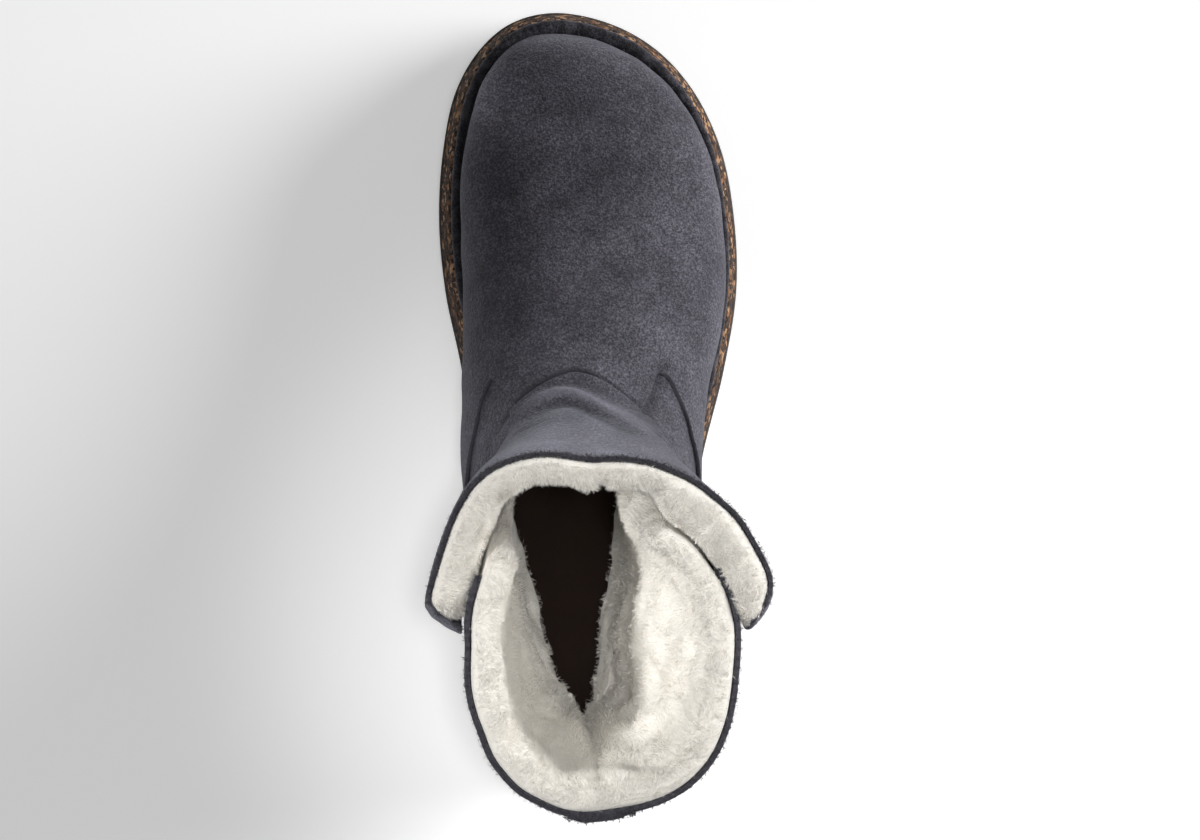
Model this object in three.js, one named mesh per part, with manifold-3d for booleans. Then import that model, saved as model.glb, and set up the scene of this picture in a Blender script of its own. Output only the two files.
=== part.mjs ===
// A shearling-lined suede boot for the right foot, in millimetres, +Z up, toe towards +Y.
// Tables are written from the heel end of the sole and from the heel's own axis; the last lines
// move the boot so that the origin is at the bottom centre of its box.
import * as THREE from "three";
import { mergeVertices } from "three/addons/utils/BufferGeometryUtils.js";
import Module from "manifold-3d";

const wasm = await Module();
wasm.setup();

// Driving dimensions of the sole
const SOLE_LENGTH = 264;
const TOE_TIP_X = -8.5;
const TOE_SPRING = 9;
const SPRING_START = 188;
const CORK_TOP = { heel: 29, forefoot: 19, from: 55, to: 175 };
const TOE_LEDGE = { share: 0.28, from: 225, to: 262 };
const GROOVE = { width: 3.2, depth: 2.6, pitch: 12.4, chevron: 7, reach: 80 };
const GROOVE_RUNS = [
  { from: 20, to: 72 },
  { from: 150, to: 246 },
];
const ARCH = { from: 84, to: 138, height: 3 };
const RAND = { inset: 4, height: 6.3, shoulder: 4.4, lean: 1.2 };
const INSOLE = { inset: 12.2, thickness: 4, cup: 2.5, cupFrom: 70, cupTo: 150, bars: 22, columns: 6 };
const INSOLE_ROOM_INSET = 2;

// Driving dimensions of the upper and its lining
const UPPER_INSET = 8.8;
const HIDE = 1.6;
const OVERLAY = 1.4;
const LAP = 0.6;
const GAP = 0.3;
const SEAT = 0.7;
const LINING_GAP = 0.8;
const FLARE = { lean: 1, wing: 10.6 };
const FLARE_RAMP = { medial: { from: 0, to: 0.24 }, lateral: { from: 0.03, to: 0.46 } };
const TUCK = { depth: 10, from: 0.14, to: 0.46, fromRow: 13 };
const STAY = { halfWidth: 10, foot: 45, front: 40 };
const PILE = { collar: 10, foot: 13.5, low: 40, high: 120 };
const LUMP = { depth: 1.1, around: [7, 3], along: [2, 3.7] };
const LOCK = { radius: 3.6, height: 8, sides: 4, sink: 4, depth: 5.4, tilt: 0.2, sway: 5, turn: 1.7 };
const LOCK_RUNS = {
  back: [
    { from: 0.36, to: 0.98, count: 8 },
    { from: -0.98, to: -0.36, count: 8 },
  ],
  front: [{ from: -0.38, to: 0.38, count: 11 }],
};

// Reach of the outsole to each side of the heel axis, at distances from the heel end
const SOLE_EDGE = [
  { y: 10.8, medial: 26, lateral: 26 },
  { y: 36, medial: 36.6, lateral: 37 },
  { y: 75, medial: 35.8, lateral: 38.8 },
  { y: 108, medial: 36.4, lateral: 43 },
  { y: 140, medial: 40.2, lateral: 50.8 },
  { y: 168, medial: 46, lateral: 55.3 },
  { y: 193, medial: 48.2, lateral: 54.6 },
  { y: 217, medial: 46.8, lateral: 50 },
  { y: 237, medial: 42.5, lateral: 40.5 },
  { y: 251.3, medial: 34.3, lateral: 27.5 },
  { y: 260.4, medial: 23.4, lateral: 11 },
];

// Flank of the outsole, from the tread up: inset from the outline and height
const OUTSOLE_FLANK = [
  { inset: 2.8, height: 0 },
  { inset: 0.8, height: 1.4 },
  { inset: 0, height: 3.2 },
  { inset: 0, height: 6.4 },
  { inset: 0.6, height: 7.2 },
];
const OUTSOLE_TOP = OUTSOLE_FLANK.at(-1).height;

// Flank of the cork: insets at its foot, a little above it, at its shoulder and on top
const CORK_FLANK = { foot: 0.9, low: 1.3, lowRise: 2.5, shoulder: 3, shoulderDrop: 1.4, top: 3.8 };

// Sections of the last, from the toe along the foot and up the shaft. Each lies in a plane from a
// point of the bottom or back (base, rise above the feather edge) to one of the top or front
// (front, crest). Medial and lateral are the reach at the belly, the share of the height where the
// section is widest. Round is the fullness of the curve, steps the grid rows up to the next section.
const SECTION_COLUMNS = [
  "base", "rise", "front", "crest", "ridge", "medial", "lateral", "belly", "round", "steps",
];
const SECTIONS = [
  [252.4, 0, 252.4, 31.5, -8.2, 13.2, -1.7, 0.3, 2, 1],
  [251, 0, 251, 37.5, -8.2, 18, 4.6, 0.3, 2.1, 1],
  [248, 0, 248, 44, -8.2, 23, 12.6, 0.3, 2.2, 1],
  [242.5, 0, 242.5, 50.5, -8, 28.8, 22.2, 0.3, 2.25, 1],
  [234, 0, 234, 55.5, -7.5, 34.6, 32, 0.3, 2.25, 2],
  [220, 0, 220, 60, -6.5, 38.7, 40.7, 0.3, 2.25, 1],
  [200, 0, 202, 65, -6, 40.4, 46.4, 0.32, 2.2, 1],
  [175, 0, 182, 71, -5, 40, 48.4, 0.34, 2.15, 1],
  [150, 0, 164, 78, -4, 38.8, 46, 0.38, 2.1, 2],
  [122, 0, 147, 86, -3, 39.4, 40.8, 0.42, 2.05, 2],
  [92, 0, 135, 94.5, -2, 39.8, 38.4, 0.45, 2.05, 2],
  [60, 0, 128.5, 103, -1, 39, 37.6, 0.47, 2.1, 2],
  [31, 0, 125, 111.5, 0, 38.6, 37.4, 0.48, 2.15, 4],
  [8.8, 0, 122.5, 120, 0, 38.6, 37.6, 0.48, 2.2, 2],
  [4, 28, 119.5, 131, 0, 39, 38, 0.48, 2.2, 1],
  [5, 58, 116.5, 142.5, 0, 39.6, 38.8, 0.48, 2.2, 1],
  [6, 88, 114, 154.5, 0, 40.6, 40, 0.47, 2.15, 1],
  [4, 118, 112, 167, 0, 41.8, 41.4, 0.46, 2.1, 1],
  [0.6, 147, 110.5, 180, 0, 42.8, 42.6, 0.45, 2.1, 0],
].map((row) => Object.fromEntries(SECTION_COLUMNS.map((column, i) => [column, row[i]])));
const BALL_ROW = 6;
const THROAT_ROW = 10;
const HEEL_ROW = 13;
const COLLAR_ROW = SECTIONS.length - 1;
const UNDER_ROUND = { sole: 1.7, heel: 2.2, fromRow: 11 };
const LEAST_BULGE = 0.7;

// Side view of the vamp's free edge, the notch and the flap's free edge, from the sole to the collar
const FREE_EDGE = [
  { y: 52, z: 20 },
  { y: 66, z: 37 },
  { y: 92, z: 51 },
  { y: 116, z: 62 },
  { y: 132, z: 70 },
  { y: 138, z: 76 },
  { y: 133, z: 85 },
  { y: 126, z: 98 },
  { y: 113, z: 115 },
  { y: 95, z: 133 },
  { y: 76, z: 151 },
  { y: 62, z: 165 },
  { y: 58.5, z: 174 },
  { y: 62, z: 186 },
];

// Front view of the opening that the flap covers: its reach to each side at heights above the floor
const THROAT_OPENING = [
  { z: 106, medial: 0, lateral: 0 },
  { z: 109, medial: 9, lateral: 8 },
  { z: 120, medial: 18, lateral: 14 },
  { z: 145, medial: 26, lateral: 18 },
  { z: 190, medial: 33, lateral: 21 },
];
const THROAT_BACK = 55;

// Grid density, and lengths that only have to be small or to reach past the boot
const SIDE_STEPS = 12;
const EDGE_POINTS = 60;
const CURVE_STEPS = 5;
const FRONT_SPAN = 0.98;
const NORMAL_STEP = 0.004;
const WELD = 1e-4;
const ABOVE = 3;
const FAR = 300;

const X = new THREE.Vector3(1, 0, 0);
const Y = new THREE.Vector3(0, 1, 0);
const Z = new THREE.Vector3(0, 0, 1);
const MIRROR = new THREE.Vector2(-1, 1);
const { lerp, clamp, smoothstep } = THREE.MathUtils;

// Heights along the sole
const springShare = (y) => Math.max(y - SPRING_START, 0) / (SOLE_LENGTH - SPRING_START);
const lift = (y) => TOE_SPRING * springShare(y) ** 2;
const rampShare = (y) => smoothstep(y, CORK_TOP.from, CORK_TOP.to);
const corkTop = (y) => lerp(CORK_TOP.heel, CORK_TOP.forefoot, rampShare(y)) + lift(y);
const featherHeight = (y) => corkTop(y) + SEAT;
const insoleTop = (y) => corkTop(y) + GAP + INSOLE.thickness;

// Outline of the sole as a closed curve: heel end, lateral side, toe tip, medial side
const soleCurve = new THREE.CatmullRomCurve3(
  [
    new THREE.Vector3(0, 0, 0),
    ...SOLE_EDGE.map((row) => new THREE.Vector3(row.lateral, row.y, 0)),
    new THREE.Vector3(TOE_TIP_X, SOLE_LENGTH, 0),
    ...SOLE_EDGE.map((row) => new THREE.Vector3(-row.medial, row.y, 0)).reverse(),
  ],
  true,
  "centripetal",
);

// The outline moved inwards, further at the toe, with point i opposite point count - i
function soleOutline(inset, count = EDGE_POINTS) {
  return Array.from({ length: count }, (_, i) => {
    const point = soleCurve.getPoint(i / count);
    const along = soleCurve.getTangent(i / count);
    const ledge = TOE_LEDGE.share * smoothstep(point.y, TOE_LEDGE.from, TOE_LEDGE.to);
    const depth = inset * (1 + ledge);
    return new THREE.Vector2(point.x - along.y * depth, point.y + along.x * depth);
  });
}

const featherOutline = soleOutline(UPPER_INSET, 8 * EDGE_POINTS);

// Reach of the feather edge on one side (-1 medial, 1 lateral) at a distance from the heel end
function featherReach(y, side) {
  const half = featherOutline.length / 2;
  const medial = [featherOutline[0], ...featherOutline.slice(half).reverse()];
  const points = side > 0 ? featherOutline.slice(0, half + 1) : medial;
  const k = points.findIndex((point, i) => i > 0 && point.y >= y);
  if (k < 0) return points.at(-1).x;
  const share = (y - points[k - 1].y) / (points[k].y - points[k - 1].y);
  return lerp(points[k - 1].x, points[k].x, Math.max(share, 0));
}

// A section at row position v, each column on a Catmull-Rom curve through the table's rows
function sectionAt(v) {
  const k = Math.min(Math.floor(v), COLLAR_ROW - 1);
  const share = v - k;
  const row = (i) => SECTIONS[clamp(i, 0, COLLAR_ROW)];
  const at = (column) => {
    const [a, b, c, d] = [-1, 0, 1, 2].map((i) => row(k + i)[column]);
    const turn = 2 * a - 5 * b + 4 * c - d + (3 * (b - c) + d - a) * share;
    return b + 0.5 * share * (c - a + share * turn);
  };
  const base = at("base");
  const onSole = v < HEEL_ROW;
  const foot = featherHeight(onSole ? base : SECTIONS[HEEL_ROW].base);
  return {
    base: new THREE.Vector2(base, foot + Math.max(at("rise"), 0)),
    crest: new THREE.Vector2(at("front"), at("crest")),
    ridge: at("ridge"),
    reach: { "-1": -at("medial"), 1: at("lateral") },
    foot: { "-1": onSole ? featherReach(base, -1) : 0, 1: onSole ? featherReach(base, 1) : 0 },
    belly: at("belly"),
    round: at("round"),
  };
}

// A point of the last: v along the rows, u from -1 (medial foot or back) over 0 (ridge) to 1 (lateral)
function lastPoint(u, v) {
  const s = sectionAt(v);
  const side = u < 0 ? -1 : 1;
  const foot = side * (s.foot[side] - s.ridge);
  const reach = Math.max(side * (s.reach[side] - s.ridge), foot + LEAST_BULGE);
  const footShare = v < HEEL_ROW ? Math.max(foot / reach, 0) : 0;
  const heelShare = smoothstep(v, UNDER_ROUND.fromRow, HEEL_ROW);
  const under = lerp(UNDER_ROUND.sole, UNDER_ROUND.heel, heelShare);
  const end = Math.PI - Math.asin(footShare ** (under / 2));
  const angle = Math.abs(u) * end;
  const overBelly = angle <= Math.PI / 2;
  const power = 2 / (overBelly ? s.round : under);
  const across = Math.max(Math.sin(angle), 0) ** power;
  const along = overBelly
    ? s.belly + (1 - s.belly) * Math.cos(angle) ** power
    : s.belly * (1 - (Math.cos(angle) / Math.cos(end)) ** power);
  const spine = s.base.clone().lerp(s.crest, along);
  return new THREE.Vector3(s.ridge + side * reach * across, spine.x, spine.y);
}

// Outward normal of the last; from the heel up, u runs on across the back seam
function lastNormal(u, v) {
  const seam = v >= HEEL_ROW;
  const turn = (w) => (seam && Math.abs(w) > 1 ? w - 2 * Math.sign(w) : clamp(w, -1, 1));
  const round = lastPoint(turn(u + NORMAL_STEP), v).sub(lastPoint(turn(u - NORMAL_STEP), v));
  const above = lastPoint(u, Math.min(v + NORMAL_STEP, COLLAR_ROW));
  const below = lastPoint(u, Math.max(v - NORMAL_STEP, seam ? HEEL_ROW : 0));
  return above.sub(below).cross(round).normalize();
}

// How far the flap stands off the last: nothing at the throat, most at the wings of the collar
function flare(u, v) {
  const up = smoothstep(v, THROAT_ROW, COLLAR_ROW);
  const ramp = u < 0 ? FLARE_RAMP.medial : FLARE_RAMP.lateral;
  return up * (FLARE.lean + FLARE.wing * smoothstep(Math.abs(u), ramp.from, ramp.to));
}

// How far the lateral quarter is tucked in behind the flap, most at its front corner
function tuck(u, v) {
  const up = smoothstep(v, TUCK.fromRow, COLLAR_ROW);
  return u > 0 ? TUCK.depth * up * (1 - smoothstep(u, TUCK.from, TUCK.to)) : 0;
}

// Depth of the pile, more towards the foot, with soft lumps that meet at the back seam
function pile(u, v) {
  const high = smoothstep(lastPoint(u, v).z, PILE.low, PILE.high);
  const first = Math.sin(LUMP.around[0] * Math.PI * u + LUMP.along[0] * v);
  const second = Math.cos(LUMP.around[1] * Math.PI * u - LUMP.along[1] * v);
  return lerp(PILE.foot, PILE.collar, high) + LUMP.depth * first * second;
}

// A closed solid from points and triangles: coincident points are joined and empty triangles dropped
function solid(points, triangles) {
  const geometry = new THREE.BufferGeometry().setFromPoints(points);
  geometry.setIndex(triangles);
  const merged = mergeVertices(geometry, WELD);
  const index = [];
  for (let i = 0; i < merged.index.count; i += 3) {
    const [a, b, c] = [0, 1, 2].map((k) => merged.index.getX(i + k));
    if (a !== b && b !== c && c !== a) index.push(a, b, c);
  }
  const vertProperties = merged.attributes.position.array;
  const triVerts = new Uint32Array(index);
  return new wasm.Manifold(new wasm.Mesh({ numProp: 3, vertProperties, triVerts }));
}

// A solid from a closed three.js geometry
function fromGeometry(geometry) {
  geometry.deleteAttribute("normal");
  geometry.deleteAttribute("uv");
  const merged = mergeVertices(geometry, WELD);
  const vertProperties = merged.attributes.position.array;
  const triVerts = new Uint32Array(merged.index.array);
  return new wasm.Manifold(new wasm.Mesh({ numProp: 3, vertProperties, triVerts }));
}

// A straight prism with a flat outline, placed by the axes of its outline and its depth
function prism(shape, axisX, axisY, start, depth) {
  const settings = { depth, bevelEnabled: false, curveSegments: CURVE_STEPS };
  const geometry = new THREE.ExtrudeGeometry(shape, settings);
  geometry.translate(0, 0, start);
  geometry.applyMatrix4(new THREE.Matrix4().makeBasis(axisX, axisY, axisX.clone().cross(axisY)));
  return fromGeometry(geometry);
}

// A wall between an outer and an inner grid of points, closed along its free edges.
// From row seamRow on, the two long edges of the grid are one seam and stay open.
function wall(outer, inner, seamRow = Infinity) {
  const rows = outer.length;
  const columns = outer[0].length;
  const triangles = [];
  const at = (layer, i, j) => layer * rows * columns + i * columns + j;
  const quad = (a, b, c, d) => triangles.push(a, b, c, a, c, d);
  const end = columns - 1;
  for (let i = 0; i + 1 < rows; i++) {
    for (let j = 0; j < end; j++) {
      quad(at(0, i, j), at(0, i + 1, j), at(0, i + 1, j + 1), at(0, i, j + 1));
      quad(at(1, i, j), at(1, i, j + 1), at(1, i + 1, j + 1), at(1, i + 1, j));
    }
    if (i >= seamRow) continue;
    quad(at(0, i, 0), at(1, i, 0), at(1, i + 1, 0), at(0, i + 1, 0));
    quad(at(0, i, end), at(0, i + 1, end), at(1, i + 1, end), at(1, i, end));
  }
  for (let j = 0; j < end; j++) {
    quad(at(0, 0, j), at(0, 0, j + 1), at(1, 0, j + 1), at(1, 0, j));
    quad(at(0, rows - 1, j), at(1, rows - 1, j), at(1, rows - 1, j + 1), at(0, rows - 1, j + 1));
  }
  return solid([...outer.flat(), ...inner.flat()], triangles);
}

// Row positions of the grid, closer together towards the end of the heel
function gridRows(fromRow) {
  const rows = [];
  for (let row = fromRow; row < COLLAR_ROW; row++) {
    const { steps } = SECTIONS[row];
    const share = (i) => (steps > 2 ? 1 - (1 - i / steps) ** 2 : i / steps);
    for (let i = 0; i < steps; i++) rows.push(row + share(i));
  }
  return [...rows, COLLAR_ROW];
}

// Grid of the last at an offset, from one row to the collar; from row 0 it starts at the toe tip.
// Span is how much of each side it covers: 1 reaches the feather edge and the back seam.
function lastGrid(offset, { fromRow = 0, span = 1, raise = 0 } = {}) {
  const columns = Array.from({ length: 2 * SIDE_STEPS + 1 }, (_, j) => span * (j / SIDE_STEPS - 1));
  const up = new THREE.Vector3(0, 0, raise);
  const at = (u, v) => lastPoint(u, v).addScaledVector(lastNormal(u, v), offset(u, v)).add(up);
  const grid = gridRows(fromRow).map((v) => columns.map((u) => at(u, v)));
  if (fromRow > 0) return grid;
  const tip = featherOutline[featherOutline.length / 2];
  const height = featherHeight(tip.y) + (span < 1 ? LAP : 0);
  const front = new THREE.Vector3(tip.x, tip.y + offset(0, 0), height).add(up);
  return [columns.map(() => front.clone()), ...grid];
}

// A wall of the last between two offsets
function lastWall(outer, inner, extent = {}) {
  const { fromRow = 0, span = 1 } = extent;
  const seam = gridRows(fromRow).indexOf(HEEL_ROW) + (fromRow === 0 ? 1 : 0);
  return wall(lastGrid(outer, extent), lastGrid(inner, extent), span < 1 ? Infinity : seam);
}

// The last as a full block at an offset, moved up or down
function lastBlock(offset, raise) {
  const grid = lastGrid(() => offset, { raise });
  const columns = grid[0].length;
  const triangles = [];
  const at = (i, j) => i * columns + j;
  const quad = (a, b, c, d) => triangles.push(a, b, c, a, c, d);
  const seam = gridRows(0).indexOf(HEEL_ROW) + 1;
  for (let i = 0; i + 1 < grid.length; i++) {
    for (let j = 0; j + 1 < columns; j++) quad(at(i, j), at(i + 1, j), at(i + 1, j + 1), at(i, j + 1));
    if (i < seam) quad(at(i, columns - 1), at(i + 1, columns - 1), at(i + 1, 0), at(i, 0));
  }
  const top = grid.length - 1;
  for (let j = 1; j + 1 < columns; j++) triangles.push(at(top, 0), at(top, j + 1), at(top, j));
  return solid(grid.flat(), triangles);
}

// Everything behind the free edges of vamp and flap, as seen from the side
function behindFreeEdges() {
  const [first, ...rest] = FREE_EDGE.map((row) => new THREE.Vector2(row.y, row.z));
  const shape = new THREE.Shape();
  shape.moveTo(-FAR, first.y);
  shape.lineTo(first.x, first.y);
  shape.splineThru(rest);
  shape.lineTo(rest.at(-1).x, FAR);
  shape.lineTo(-FAR, FAR);
  return prism(shape, Y, Z, -FAR / 2, FAR);
}

// The opening in the front of the shaft, which the flap covers, narrowed by a margin
function throatOpening(margin = 0) {
  const edge = (row, side) => new THREE.Vector2(Math.max(row[side] - margin, 0), row.z + margin);
  const right = THROAT_OPENING.map((row) => edge(row, "lateral"));
  const left = THROAT_OPENING.slice(1).map((row) => edge(row, "medial").multiply(MIRROR));
  const shape = new THREE.Shape();
  shape.moveTo(right[0].x, right[0].y);
  shape.splineThru(right.slice(1));
  shape.lineTo(left.at(-1).x, left.at(-1).y);
  shape.splineThru([...left.slice(0, -1).reverse(), right[0]]);
  return prism(shape, X, Z, -FAR, FAR - THROAT_BACK);
}

// A box of space between two corners
function block(low, high) {
  const size = high.clone().sub(low);
  const middle = low.clone().add(high).multiplyScalar(0.5);
  return fromGeometry(new THREE.BoxGeometry(...size.toArray()).translate(...middle.toArray()));
}

// A stack of outline rings, closed by straight bars across its lowest and highest ring
function ringStack(rings) {
  const count = rings[0].length;
  const triangles = [];
  const quad = (a, b, c, d) => triangles.push(a, b, c, a, c, d);
  for (let k = 0; k + 1 < rings.length; k++)
    for (let i = 0; i < count; i++) {
      const next = (i + 1) % count;
      quad(k * count + i, k * count + next, (k + 1) * count + next, (k + 1) * count + i);
    }
  const top = (rings.length - 1) * count;
  for (let i = 0; i < count / 2; i++) {
    const [a, b, c, d] = [i, i + 1, count - i - 1, (count - i) % count];
    quad(top + a, top + b, top + c, top + d);
    quad(a, d, c, b);
  }
  return solid(rings.flat(), triangles);
}

const ring = (inset, height) => soleOutline(inset).map((p) => new THREE.Vector3(p.x, p.y, height(p.y)));

// One chevron groove across the tread
function groove(y) {
  const back = GROOVE.width / -2;
  const front = GROOVE.width / 2;
  const shape = new THREE.Shape([
    new THREE.Vector2(-GROOVE.reach, y + back - GROOVE.chevron),
    new THREE.Vector2(0, y + back),
    new THREE.Vector2(GROOVE.reach, y + back - GROOVE.chevron),
    new THREE.Vector2(GROOVE.reach, y + front - GROOVE.chevron),
    new THREE.Vector2(0, y + front),
    new THREE.Vector2(-GROOVE.reach, y + front - GROOVE.chevron),
  ]);
  return prism(shape, X, Y, -FAR, FAR + lift(y) + GROOVE.depth);
}

// The hollow under the arch, as a shallow bow across the sole
function archHollow() {
  const shape = new THREE.Shape();
  shape.moveTo(ARCH.from, -ARCH.height);
  shape.quadraticCurveTo((ARCH.from + ARCH.to) / 2, 3 * ARCH.height, ARCH.to, -ARCH.height);
  return prism(shape, Y, Z, -FAR / 2, FAR);
}

// Outsole: a round tread edge, an upright rim, chevron grooves and a low arch
function outsole() {
  const rings = OUTSOLE_FLANK.map((row) => ring(row.inset, (y) => lift(y) + row.height));
  let body = ringStack(rings).subtract(archHollow());
  for (const run of GROOVE_RUNS)
    for (let y = run.from; y <= run.to; y += GROOVE.pitch) body = body.subtract(groove(y));
  return body;
}

// Midsole: cork with a slanted flank and an eased upper edge
function midsole() {
  return ringStack([
    ring(CORK_FLANK.foot, (y) => lift(y) + OUTSOLE_TOP + GAP),
    ring(CORK_FLANK.low, (y) => lift(y) + OUTSOLE_TOP + CORK_FLANK.lowRise),
    ring(CORK_FLANK.shoulder, (y) => corkTop(y) - CORK_FLANK.shoulderDrop),
    ring(CORK_FLANK.top, corkTop),
  ]);
}

// Rand: a strip on the cork, cut on its inner side by the upper's own form
function rand() {
  const strip = ringStack([
    ring(RAND.inset, (y) => corkTop(y) + GAP),
    ring(RAND.inset, (y) => corkTop(y) + RAND.shoulder),
    ring(RAND.inset + RAND.lean, (y) => corkTop(y) + RAND.height),
  ]);
  return strip.subtract(lastBlock(OVERLAY + 2 * GAP, -SEAT - GAP));
}

// Insole: a footbed with a cup round the heel, from bars across the foot
function insole() {
  const { bars, columns } = INSOLE;
  const edge = soleOutline(INSOLE.inset, 2 * bars);
  const bar = (i, height) => {
    const [lateral, medial] = [edge[i], edge[(2 * bars - i) % (2 * bars)]];
    return Array.from({ length: columns + 1 }, (_, j) => {
      const p = medial.clone().lerp(lateral, j / columns);
      const out = i % bars === 0 ? 1 : Math.abs(2 * (j / columns) - 1);
      return new THREE.Vector3(p.x, p.y, height(p.y, out));
    });
  };
  const grid = (height) => Array.from({ length: bars + 1 }, (_, i) => bar(i, height));
  const cup = (y, out) => INSOLE.cup * out ** 3 * (1 - smoothstep(y, INSOLE.cupFrom, INSOLE.cupTo));
  const top = grid((y, out) => insoleTop(y) + cup(y, out));
  const bottom = grid((y) => corkTop(y) + GAP);
  return wall(bottom, top);
}

// The space that the insole takes up, with clearance above it
function insoleRoom() {
  const cover = (y) => insoleTop(y) + INSOLE.cup + GAP;
  return ringStack([ring(INSOLE_ROOM_INSET, () => 0), ring(INSOLE_ROOM_INSET, cover)]);
}

// Upper: quarters and back shaft as the inner layer, vamp and front flap lapped over them,
// and a stay up the back seam
function upper() {
  const hide = lastWall(
    (u, v) => -tuck(u, v),
    (u, v) => -tuck(u, v) - HIDE,
  );
  const quarters = hide.subtract(throatOpening());
  const front = lastWall(
    (u, v) => flare(u, v) + OVERLAY,
    (u, v) => flare(u, v) - LAP,
    { span: FRONT_SPAN },
  ).subtract(behindFreeEdges());
  const stayRoom = block(
    new THREE.Vector3(-STAY.halfWidth, -FAR, STAY.foot),
    new THREE.Vector3(STAY.halfWidth, STAY.front, FAR),
  );
  const stay = lastWall(() => OVERLAY, () => -LAP, { fromRow: BALL_ROW }).intersect(stayRoom);
  return quarters.add(front).add(stay);
}

// Locks of wool along one run of the collar, at a depth inside the suede
function locks({ from, to, count }, depth) {
  return Array.from({ length: count }, (_, i) => {
    const u = lerp(from, to, (i + 0.5) / count);
    const cone = new THREE.ConeGeometry(LOCK.radius, LOCK.height, LOCK.sides);
    cone.rotateX(Math.PI / 2 + LOCK.tilt * Math.sin(LOCK.sway * i));
    cone.rotateZ(LOCK.turn * i);
    const foot = lastPoint(u, COLLAR_ROW).addScaledVector(lastNormal(u, COLLAR_ROW), -depth(u));
    cone.translate(foot.x, foot.y, foot.z + LOCK.height / 2 - LOCK.sink);
    return fromGeometry(cone);
  });
}

// Shearling of the quarters and the back shaft, from the collar down to the insole
function liningBack() {
  const skin = HIDE + LINING_GAP;
  const fleece = lastWall(
    (u, v) => -tuck(u, v) - skin,
    (u, v) => -tuck(u, v) - skin - pile(u, v),
    { fromRow: THROAT_ROW },
  );
  const trimmed = fleece.subtract(throatOpening()).subtract(insoleRoom());
  const depth = (u) => tuck(u, COLLAR_ROW) + skin + LOCK.depth;
  const tufts = LOCK_RUNS.back.flatMap((run) => locks(run, depth));
  return tufts.reduce((sum, lock) => sum.add(lock), trimmed);
}

// Room of the quarters and their shearling, with clearance, carried on above the collar
function quarterRoom() {
  const depth = HIDE + LINING_GAP + PILE.foot + LUMP.depth + GAP;
  const outer = (u, v) => GAP - tuck(u, v);
  const inner = (u, v) => -depth - tuck(u, v);
  const room = (raise) => lastWall(outer, inner, { fromRow: BALL_ROW, raise });
  return room(0).add(room(ABOVE)).subtract(throatOpening(GAP));
}

// Shearling of the flap, which fills the gap between its wings and the back shaft
function liningFront() {
  const skin = LAP + LINING_GAP;
  const fleece = lastWall(
    (u, v) => flare(u, v) - skin,
    (u, v) => flare(u, v) - skin - pile(u, v),
    { fromRow: THROAT_ROW, span: FRONT_SPAN },
  ).subtract(behindFreeEdges());
  const depth = (u) => skin + LOCK.depth - flare(u, COLLAR_ROW);
  const tufts = LOCK_RUNS.front.flatMap((run) => locks(run, depth));
  return tufts.reduce((sum, lock) => sum.add(lock), fleece).subtract(quarterRoom());
}

const MATERIALS = {
  suede: { color: 0x4a4a54, roughness: 0.95 },
  darkSuede: { color: 0x303038, roughness: 0.95 },
  cork: { color: 0x2c211a, roughness: 0.85 },
  rubber: { color: 0x2e2a28, roughness: 0.7 },
  footbed: { color: 0x21160f, roughness: 0.9 },
  shearling: { color: 0xd9cdb8, roughness: 1 },
};

const PARTS = [
  { name: "outsole", make: outsole, material: "rubber" },
  { name: "midsole", make: midsole, material: "cork" },
  { name: "rand", make: rand, material: "darkSuede" },
  { name: "upper", make: upper, material: "suede" },
  { name: "insole", make: insole, material: "footbed" },
  { name: "lining_back", make: liningBack, material: "shearling" },
  { name: "lining_front", make: liningFront, material: "shearling" },
];

const boot = new THREE.Group();
for (const part of PARTS) {
  const made = part.make().getMesh();
  const positions = new THREE.BufferAttribute(new Float32Array(made.vertProperties), 3);
  const geometry = new THREE.BufferGeometry();
  geometry.setAttribute("position", positions);
  geometry.setIndex(new THREE.BufferAttribute(new Uint32Array(made.triVerts), 1));
  const material = new THREE.MeshStandardMaterial({ ...MATERIALS[part.material], metalness: 0 });
  const mesh = new THREE.Mesh(geometry, material);
  mesh.name = part.name;
  boot.add(mesh);
}

// The origin goes to the bottom centre of the boot's box
const box = new THREE.Box3().setFromObject(boot);
boot.position.set(-(box.min.x + box.max.x) / 2, -(box.min.y + box.max.y) / 2, -box.min.z);

export default boot;
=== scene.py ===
# Visual model of a shearling-lined suede boot for the right foot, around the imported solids.
# Sizes are in millimetres, measured from the heel end of the sole and from the heel's own axis,
# with the toe towards +Y; place() turns them into metres in the frame of the solids.
import math
from types import SimpleNamespace as Sizes

import bpy
import numpy as np
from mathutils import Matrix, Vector


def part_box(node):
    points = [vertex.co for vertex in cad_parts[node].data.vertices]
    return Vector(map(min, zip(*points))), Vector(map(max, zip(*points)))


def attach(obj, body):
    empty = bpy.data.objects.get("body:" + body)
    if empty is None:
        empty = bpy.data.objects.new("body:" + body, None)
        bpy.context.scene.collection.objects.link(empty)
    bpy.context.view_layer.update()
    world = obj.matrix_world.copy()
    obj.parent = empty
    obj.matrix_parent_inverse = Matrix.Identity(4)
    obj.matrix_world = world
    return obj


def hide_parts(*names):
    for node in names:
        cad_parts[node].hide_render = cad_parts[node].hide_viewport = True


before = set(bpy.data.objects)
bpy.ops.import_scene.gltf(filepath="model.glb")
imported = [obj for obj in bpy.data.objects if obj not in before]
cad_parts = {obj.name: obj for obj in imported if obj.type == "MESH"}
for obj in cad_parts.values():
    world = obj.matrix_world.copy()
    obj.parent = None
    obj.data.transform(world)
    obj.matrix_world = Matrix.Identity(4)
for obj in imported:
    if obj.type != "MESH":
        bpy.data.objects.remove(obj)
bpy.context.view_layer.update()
SCENE = bpy.context.scene

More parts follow.
